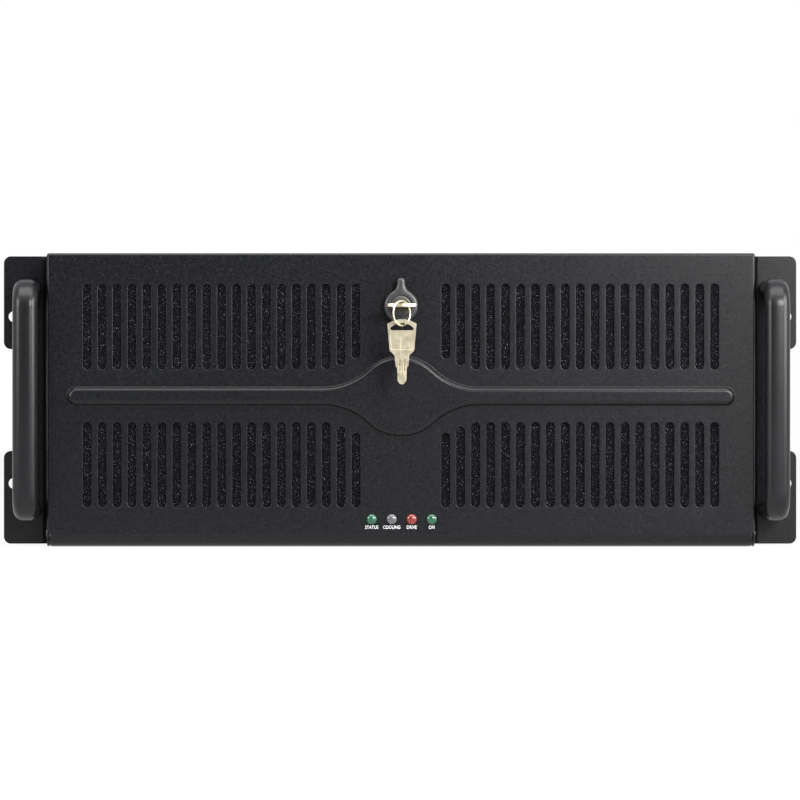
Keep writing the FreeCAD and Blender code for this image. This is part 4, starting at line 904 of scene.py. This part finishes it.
def addFixings(name, kind, places):              # every place is a middle point and the side that the head faces
    bm = bmesh.new()
    turns = {"-Y": ("Z", 0), "+Y": ("Z", 180), "+X": ("Z", 90), "-X": ("Z", -90), "+Z": ("X", -90)}
    for number, (middle, side) in enumerate(places):
        part = bmesh.new()
        kind(part)
        bmesh.ops.remove_doubles(part, verts=part.verts[:], dist=0.001)
        outward(part)
        turnAbout(part, "Y", number * fixings["turn"])
        turnAbout(part, *turns[side])
        bmesh.ops.translate(part, verts=part.verts[:], vec=middle)
        joinPart(bm, part)
    addPiece(name, bm, "body", "plainSteel")


def makeFixings():
    p = fixings
    corners = [(a, b) for a in (-1, 1) for b in (-1, 1)]
    sides = ((-1, "-X"), (1, "+X"))
    half, frontHalf = p["fanHalf"], p["frontFanHalf"]
    fans = [((x + a * half, p["rearFace"], z + b * half), "+Y") for x, z in p["fans"] for a, b in corners]
    x, z = p["frontFan"]
    fans += [((x + a * frontHalf, p["frontFace"], z + b * frontHalf), "-Y") for a, b in corners]
    addFixings("fanScrews", panHead, fans)
    addFixings("earScrews", panHead, [((hand * p["leafFace"], y, z), side)
                                      for hand, side in sides for y in p["leafY"] for z in p["leafZ"]])
    addFixings("cardScrews", panHead, [((p["cardX"] + i * p["cardPitch"], p["cardY"], p["cardTop"]), "+Z")
                                       for i in range(p["cardCount"])])
    addFixings("sideRivets", rivetHead, [((hand * p["sideFace"], p["rivetY"], z), side)
                                         for hand, side in sides for z in p["rivetZ"]])


makeFixings()
print("screws and rivets")


# ---- finishes of the nodes that keep their shape

dressed = {
    "zincSheet": ["base_tray", "front_plate", "rear_plate", "top_cover", "filter_frame_left", "filter_frame_right",
                  "latch_keeper", "drive_cage_wide", "drive_cage_small", "card_rail", "hold_down_bar"]
                 + ["card_cover_%d" % (i + 1) for i in range(fixings["cardCount"])],
    "plainSteel": ["hinge_bracket_right", "hinge_bracket_left", "handle_bolts", "lock_nut", "latch_cam", "cam_screw",
                   "socket_block"],
    "mattPlastic": ["bay_cover_1", "bay_cover_2", "bay_cover_3", "bay_cover_small", "power_button", "reset_button",
                    "front_fan_frame", "front_fan_rotor", "rear_fan_1_frame", "rear_fan_1_rotor", "rear_fan_2_frame",
                    "rear_fan_2_rotor"],
    "circuitBoard": ["lamp_board", "switch_board"],
    "brass": ["board_stand_offs"],
}
edged = ("base_tray", "top_cover", "rear_plate", "bay_cover_1", "bay_cover_2", "bay_cover_3", "bay_cover_small")
for finish, names in dressed.items():
    for name in names:
        dressNode(name, finish, 0.2 if name in edged else 0.0)
print("nodes dressed")


# ---- floor, light and camera

stage = {"floor": -0.0885, "size": 8.0, "tone": (0.8, 0.8, 0.8, 1), "shadow": 0.10, "sky": (0.92, 0.95, 1.0, 1),
         "skyStrength": 0.35}
white = (1, 1, 1, 1)
panels = {                                       # place, aim, size and power of each lamp
    "keyPanel": ((0.70, -1.6, 0.58), (0.1, 0, 0.02), (0.5, 0.45), 21),
    "leftPanel": ((-0.95, -0.75, 0.35), (-0.1, 0, 0), (0.6, 0.5), 8),
    "rightPanel": ((0.90, -0.55, 0.32), (0, 0, 0), (0.6, 0.6), 13),
    "topPanel": ((0, -0.5, 1.2), (0, 0, 0), (1.8, 0.9), 23),
}
cards = {                                        # left, right, low, high, depth, colour, whether it stops light
    "darkCard": (-2.8, 0.36, -0.08, 0.85, -2.0, (0.002, 0.002, 0.003, 1), False),       # darkens the black coat
    "coverFlag": (-0.62, 0.62, 0.0888, 0.32, 0.004, (0.9, 0.9, 0.92, 1), True),         # keeps glare off the zinc
}


def makeStage():
    bm = bmesh.new()
    bmesh.ops.create_grid(bm, x_segments=4, y_segments=4, size=stage["size"] / 2)
    bmesh.ops.translate(bm, verts=bm.verts[:], vec=(0, 0, stage["floor"]))
    mesh = bpy.data.meshes.new("floor")
    bm.to_mesh(mesh)
    bm.free()
    floor = bpy.data.objects.new("floor", mesh)
    bpy.context.scene.collection.objects.link(floor)
    f = Finish("paleFloor")
    plain = f.node("BsdfDiffuse", {}, {"Color": stage["tone"]})
    bright = f.node("Emission", {}, {"Color": white, "Strength": 1.0})
    both = f.node("MixShader", {}, {0: f.seen() * (1 - stage["shadow"]), 1: plain, 2: bright})
    f.node("OutputMaterial", {}, {"Surface": both})
    mesh.materials.append(f.material)


def makeWorld():
    world = bpy.data.worlds.new("studio")
    world.use_nodes = True
    bpy.context.scene.world = world
    f = Finish("studio", world.node_tree)
    soft = f.node("Background", {}, {"Color": stage["sky"], "Strength": stage["skyStrength"]})
    bright = f.node("Background", {}, {"Color": white, "Strength": 1.0})
    both = f.node("MixShader", {}, {0: f.seen(), 1: soft, 2: bright})
    f.node("OutputWorld", {}, {"Surface": both})


def addLamp(name, place, aim, size, power):
    light = bpy.data.lights.new(name, "AREA")
    light.shape = "RECTANGLE"
    light.size, light.size_y = size
    light.energy = power
    lamp = bpy.data.objects.new(name, light)
    bpy.context.scene.collection.objects.link(lamp)
    lamp.location = place
    lamp.rotation_euler = (Vector(aim) - Vector(place)).to_track_quat("-Z", "Y").to_euler()
    lamp.visible_camera = False


camera = {"x": -0.045, "y": -2.2, "z": 0.0, "lens": 162.4, "sensor": 36.0}


def makeCamera():
    view = bpy.data.cameras.new("camera")
    view.lens = camera["lens"]
    view.sensor_width = camera["sensor"]
    view.clip_end = 50
    view.shift_x = -camera["x"] / (camera["sensor"] / camera["lens"] * -camera["y"])
    holder = bpy.data.objects.new("camera", view)
    bpy.context.scene.collection.objects.link(holder)
    holder.location = (camera["x"], camera["y"], camera["z"])
    holder.rotation_euler = (math.radians(90), 0, 0)
    bpy.context.scene.camera = holder


def addCard(name, left, right, low, high, depth, colour, stops):    # met by reflections, and by lamps if it stops them
    bm = bmesh.new()
    corners = ((left, low), (right, low), (right, high), (left, high))
    bmesh.ops.contextual_create(bm, geom=[bm.verts.new((x, depth, z)) for x, z in corners])
    mesh = bpy.data.meshes.new(name)
    bm.to_mesh(mesh)
    bm.free()
    card = bpy.data.objects.new(name, mesh)
    bpy.context.scene.collection.objects.link(card)
    f = Finish(name)
    glow = f.node("Emission", {}, {"Color": colour, "Strength": 1.0})
    f.node("OutputMaterial", {}, {"Surface": glow})
    mesh.materials.append(f.material)
    card.visible_camera = card.visible_diffuse = card.visible_transmission = False
    card.visible_shadow = stops


makeStage()
makeWorld()
for name, card in cards.items():
    addCard(name, *card)
for name, panel in panels.items():
    addLamp(name, *panel)
makeCamera()
bpy.context.scene.view_settings.view_transform = "Standard"
print("floor, light and camera")
